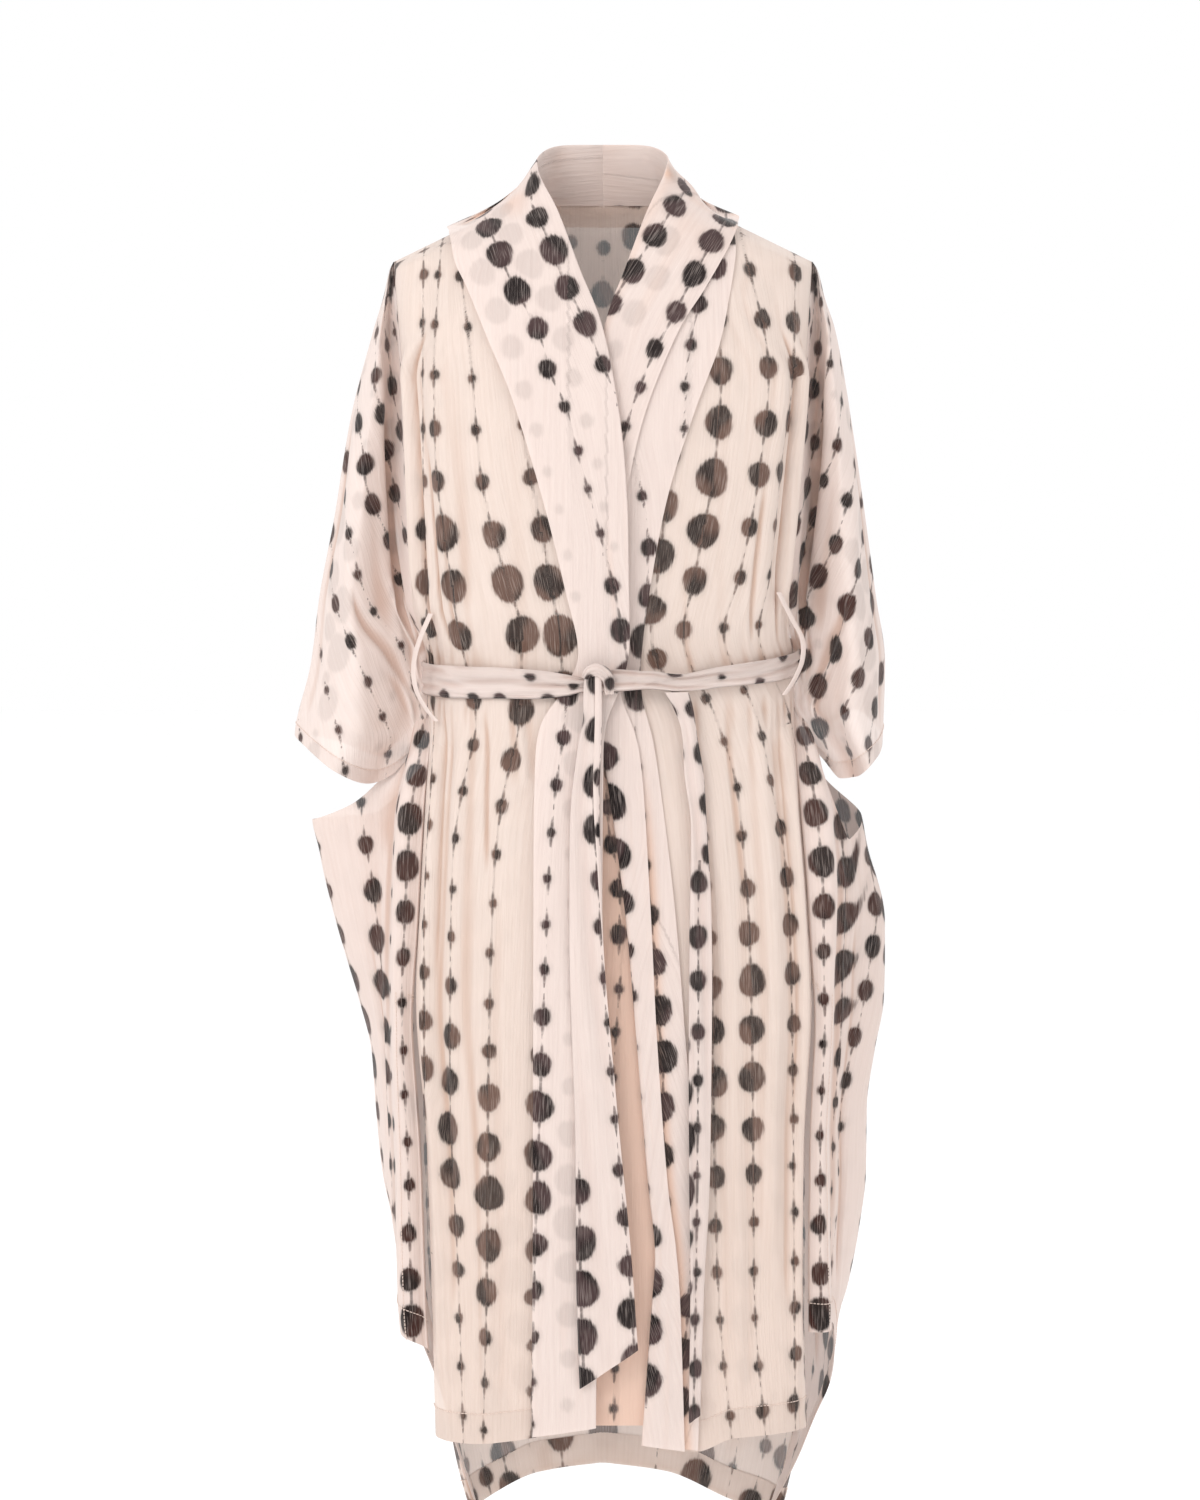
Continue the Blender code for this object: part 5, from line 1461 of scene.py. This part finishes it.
KNOT_OUT = 0.008
KNOT_HALF = 0.0015
KNOT_CREASE = 0.0006
TAIL_HALF = 0.0008
TAIL_SHIFT = (-0.53, -0.63)
PLEAT_RISE = 0.0018
PLEAT_OFF = 0.0004
TAIL_SLANT = {"right": 0.035, "left": 0.008}
# Strings of dots on the tails: share round the tube above and below the shift, lengths to the crest and
# to both ends, largest size
TAIL_STRINGS = {
    "right": [(0.085, 0.030, 0.095, -1.0, 9.0, 0.80), (0.460, 0.460, 0.545, 0.44, 9.0, 1.0),
              (0.740, 0.740, 0.430, -1.0, 9.0, 1.0)],
    "left": [(0.000, 0.000, 0.100, -1.0, 0.15, 0.58), (0.200, 0.300, 0.215, 0.16, 9.0, 0.62),
             (0.700, 0.700, 0.400, -1.0, 9.0, 1.0)],
}
# Dots on the knot: share round the tube, length from its start, largest size
KNOT_DOTS = [(0.30, 0.009, 0.45), (0.10, 0.033, 0.40), (0.75, 0.020, 0.50)]
PLEAT = table("z width", [(-0.4150, 0.0055), (-0.5200, 0.0062), (-0.5900, 0.0040), (-0.6500, 0.0006)])


def knot_points(rows, columns):
    """Points of the knot: a flat creased tube that comes up beside the strap and turns over its top."""
    along = np.linspace(0.0, 1.0, rows)
    x, z, off, half = (at(KNOT, name, along, "along")[:, None] for name in ("x", "z", "off", "half_width"))
    way = np.gradient(np.concatenate([x, z], axis=1), axis=0)
    way /= np.linalg.norm(way, axis=1)[:, None]
    turn = np.linspace(0.0, 2.0 * np.pi, columns)[None, :]
    thick = KNOT_HALF * np.sin(turn)
    thick = thick + KNOT_CREASE * np.sin(3.0 * np.pi * np.cos(turn) + 4.0 * along[:, None])
    y = front_y(KNOT_OUT, BELT_LEVEL, "right") - off - thick
    aside = half * np.cos(turn)
    return np.stack([x - aside * way[:, 1:], y, z + aside * way[:, :1]], axis=-1)


def tail_points(side, rows, columns):
    """Points of a tail, a flat tube: across its front, round the edge and back across its inside."""
    tail = TAILS[side]
    z = np.linspace(tail["z"][0], tail["z"][-1], rows)[:, None]
    lap = np.linspace(0.0, 1.0, columns)[None, :]
    share = 0.5 - 2.0 * np.minimum(lap, 1.0 - lap)
    front = np.where(lap < 0.5, 1.0, -1.0) * np.sqrt(np.clip(1.0 - np.abs(2.0 * share) ** 8, 0.0, 1.0))
    x = at(tail, "x", z) + share * at(tail, "width", z)
    level = z + TAIL_SLANT[side] * share * ease(tail["z"][0], tail["z"][-1], z)
    wave = 0.0011 * np.sin(2.0 * np.pi * (1.4 * share + 2.2 * z)) + 0.0008 * np.sin(23.0 * z + 7.0 * share)
    off = at(tail, "off", z) + TAIL_HALF * front + wave * ease(tail["z"][0], tail["z"][0] - 0.05, z)
    return on_front(SIDES[side] * x, level, side, off)


knot_grid = knot_points(40, 49)
knot_print = printed(knot_grid, [lone_dot(knot_grid, *dot) for dot in KNOT_DOTS], 111)
knot = cloth_piece("knot_strap", "belt_knot", [(knot_grid, knot_print)], sash_chiffon,
                   ALL_ROUND)


def pleat_points(rows, columns):
    """Points of the narrow pleat that lies along the edge of the wearer's right tail below the knot."""
    tail = TAILS["right"]
    z = np.linspace(PLEAT["z"][0], PLEAT["z"][-1], rows)[:, None]
    share = np.linspace(0.0, 1.0, columns)[None, :]
    x = at(tail, "x", z) + 0.5 * at(tail, "width", z) + PLEAT_OFF - share * at(PLEAT, "width", z)
    rise = PLEAT_RISE * np.sin(np.pi * np.clip(share, 0.0, 0.8))
    off = at(tail, "off", z) + TAIL_HALF + rise + PLEAT_OFF
    return on_front(-x, z + 0.0 * share, "right", off)


pleat_grid = pleat_points(120, 9)
pleat_string = string(slanting(pleat_grid, 0.0), 0.088, 0.05, 0.14, grow=0.45)
pleat = (pleat_grid, printed(pleat_grid, [pleat_string], 125))
for side, seed in (("right", 121), ("left", 131)):
    grid = tail_points(side, 260, 61)
    down = ease(*TAIL_SHIFT, grid[:, 0, 2])
    strings = []
    for top, foot, crest, first, last, grow in TAIL_STRINGS[side]:
        place = slanting(grid, top, foot - top, down)
        strings.append(string(place, crest, first, last, pitch=LOWER_PITCH, grow=grow))
    layers = [(grid, printed(grid, strings, seed))] + ([pleat] if side == "right" else [])
    tail = cloth_piece(side + "_tail_cloth", side + "_tail", layers, sash_chiffon,
                       ALL_ROUND)

# Belt loops: a thin turned strip at each side seam, standing off the waist for the belt to run through.
# Each follows six points from above the belt to below it, and its flat side faces the front.
LOOP_WIDTH = 0.006
LOOP_HALF = 0.0008
LOOP_BROAD = (0.75, 0.66, 0.0)
LOOP_STAND = (0.0016, -0.0012, 0.0)
LOOPS = {
    "right": [(0.1500, -0.0950, -0.366), (0.1600, -0.0880, -0.390), (0.1655, -0.0790, -0.412),
              (0.1640, -0.0770, -0.434), (0.1550, -0.0770, -0.452), (0.1460, -0.0780, -0.463)],
    "left": [(0.1530, -0.0879, -0.348), (0.1650, -0.0800, -0.372), (0.1745, -0.0740, -0.391),
             (0.1745, -0.0720, -0.410), (0.1675, -0.0725, -0.427), (0.1590, -0.0740, -0.440)],
}


def loop_points(side, rows, columns):
    """Points of a belt loop: a flat tube along its path."""
    middle = spline(LOOPS[side], np.linspace(0.0, 1.0, rows)) + LOOP_STAND
    middle = middle * np.array([SIDES[side], 1.0, 1.0])
    turn = np.linspace(0.0, 2.0 * np.pi, columns)
    way = np.gradient(middle, axis=0)
    broad = np.array(LOOP_BROAD) * np.array([SIDES[side], 1.0, 1.0])
    thin = np.cross(way, broad)
    thin /= np.linalg.norm(thin, axis=1)[:, None]
    return (middle[:, None] + 0.5 * LOOP_WIDTH * np.cos(turn)[None, :, None] * broad
            + LOOP_HALF * np.sin(turn)[None, :, None] * thin[:, None])


for side, seed in (("right", 141), ("left", 142)):
    grid = loop_points(side, 60, 17)
    plain = string(slanting(grid, 0.0), 0.0, first=1.0, last=1.0, thread=False)
    layers = [(grid, printed(grid, [plain], seed))]
    loop = cloth_piece(side + "_loop_strip", side + "_loop", layers, sash_chiffon,
                       ALL_ROUND)

# Studio: a broad pale floor far below the hems and soft light from all round, a little stronger from
# the upper left, with the camera a little above the collar and tilted slightly down.
FLOOR_Z = -1.50
FLOOR_REACH = 9.0
FLOOR_SIGNS = ((-1, -1), (1, -1), (1, 1), (-1, 1))
WHITE = (1.0, 1.0, 1.0, 1.0)
LIGHT_TARGET = (0.0, 0.0, -0.55)
# Lights: name, place, size, watts
LIGHTS = [
    ("key", (-1.5, -2.3, 1.2), 1.3, 30.0),
    ("fill", (2.4, -2.6, 0.8), 2.0, 5.0),
    ("behind", (0.6, 3.0, 1.6), 2.0, 14.0),
]
SENSOR_TALL = 36.0
VIEW_TARGET = np.array([-0.0027, 0.0, -0.4987])
VIEW_DISTANCE = 4.8
VIEW_TILT = np.radians(7.0)
VIEW_TALL = 1.35

floor_mesh = bpy.data.meshes.new("floor")
floor_mesh.from_pydata([(FLOOR_REACH * x, FLOOR_REACH * y, FLOOR_Z) for x, y in FLOOR_SIGNS], [],
                       [(0, 1, 2, 3)])
floor_mesh.materials.append(new_finish("pale_floor", Base_Color=WHITE, Roughness=0.9)[0])
placed("floor", floor_mesh)

world = bpy.data.worlds.new("soft_room")
world.use_nodes = True
world.node_tree.nodes["Background"].inputs["Color"].default_value = WHITE
world.node_tree.nodes["Background"].inputs["Strength"].default_value = 1.0
bpy.context.scene.world = world


def aim(obj, place, target):
    """Places an object and points its -Z axis at the target."""
    way = np.array(target, float) - np.array(place, float)
    obj.location = place
    obj.rotation_euler = (np.arctan2(np.hypot(way[0], way[1]), -way[2]), 0.0, np.arctan2(-way[0], way[1]))


for name, place, size, watts in LIGHTS:
    light = bpy.data.lights.new(name, "AREA")
    light.size = size
    light.energy = watts
    aim(placed(name, light), place, LIGHT_TARGET)
camera_data = bpy.data.cameras.new("camera")
camera_data.sensor_fit = "VERTICAL"
camera_data.sensor_height = SENSOR_TALL
camera_data.lens = SENSOR_TALL * VIEW_DISTANCE / VIEW_TALL
camera = placed("camera", camera_data)
view_place = VIEW_TARGET + VIEW_DISTANCE * np.array([0.0, -np.cos(VIEW_TILT), np.sin(VIEW_TILT)])
aim(camera, view_place, VIEW_TARGET)
bpy.context.scene.camera = camera
bpy.context.scene.view_settings.view_transform = "Standard"
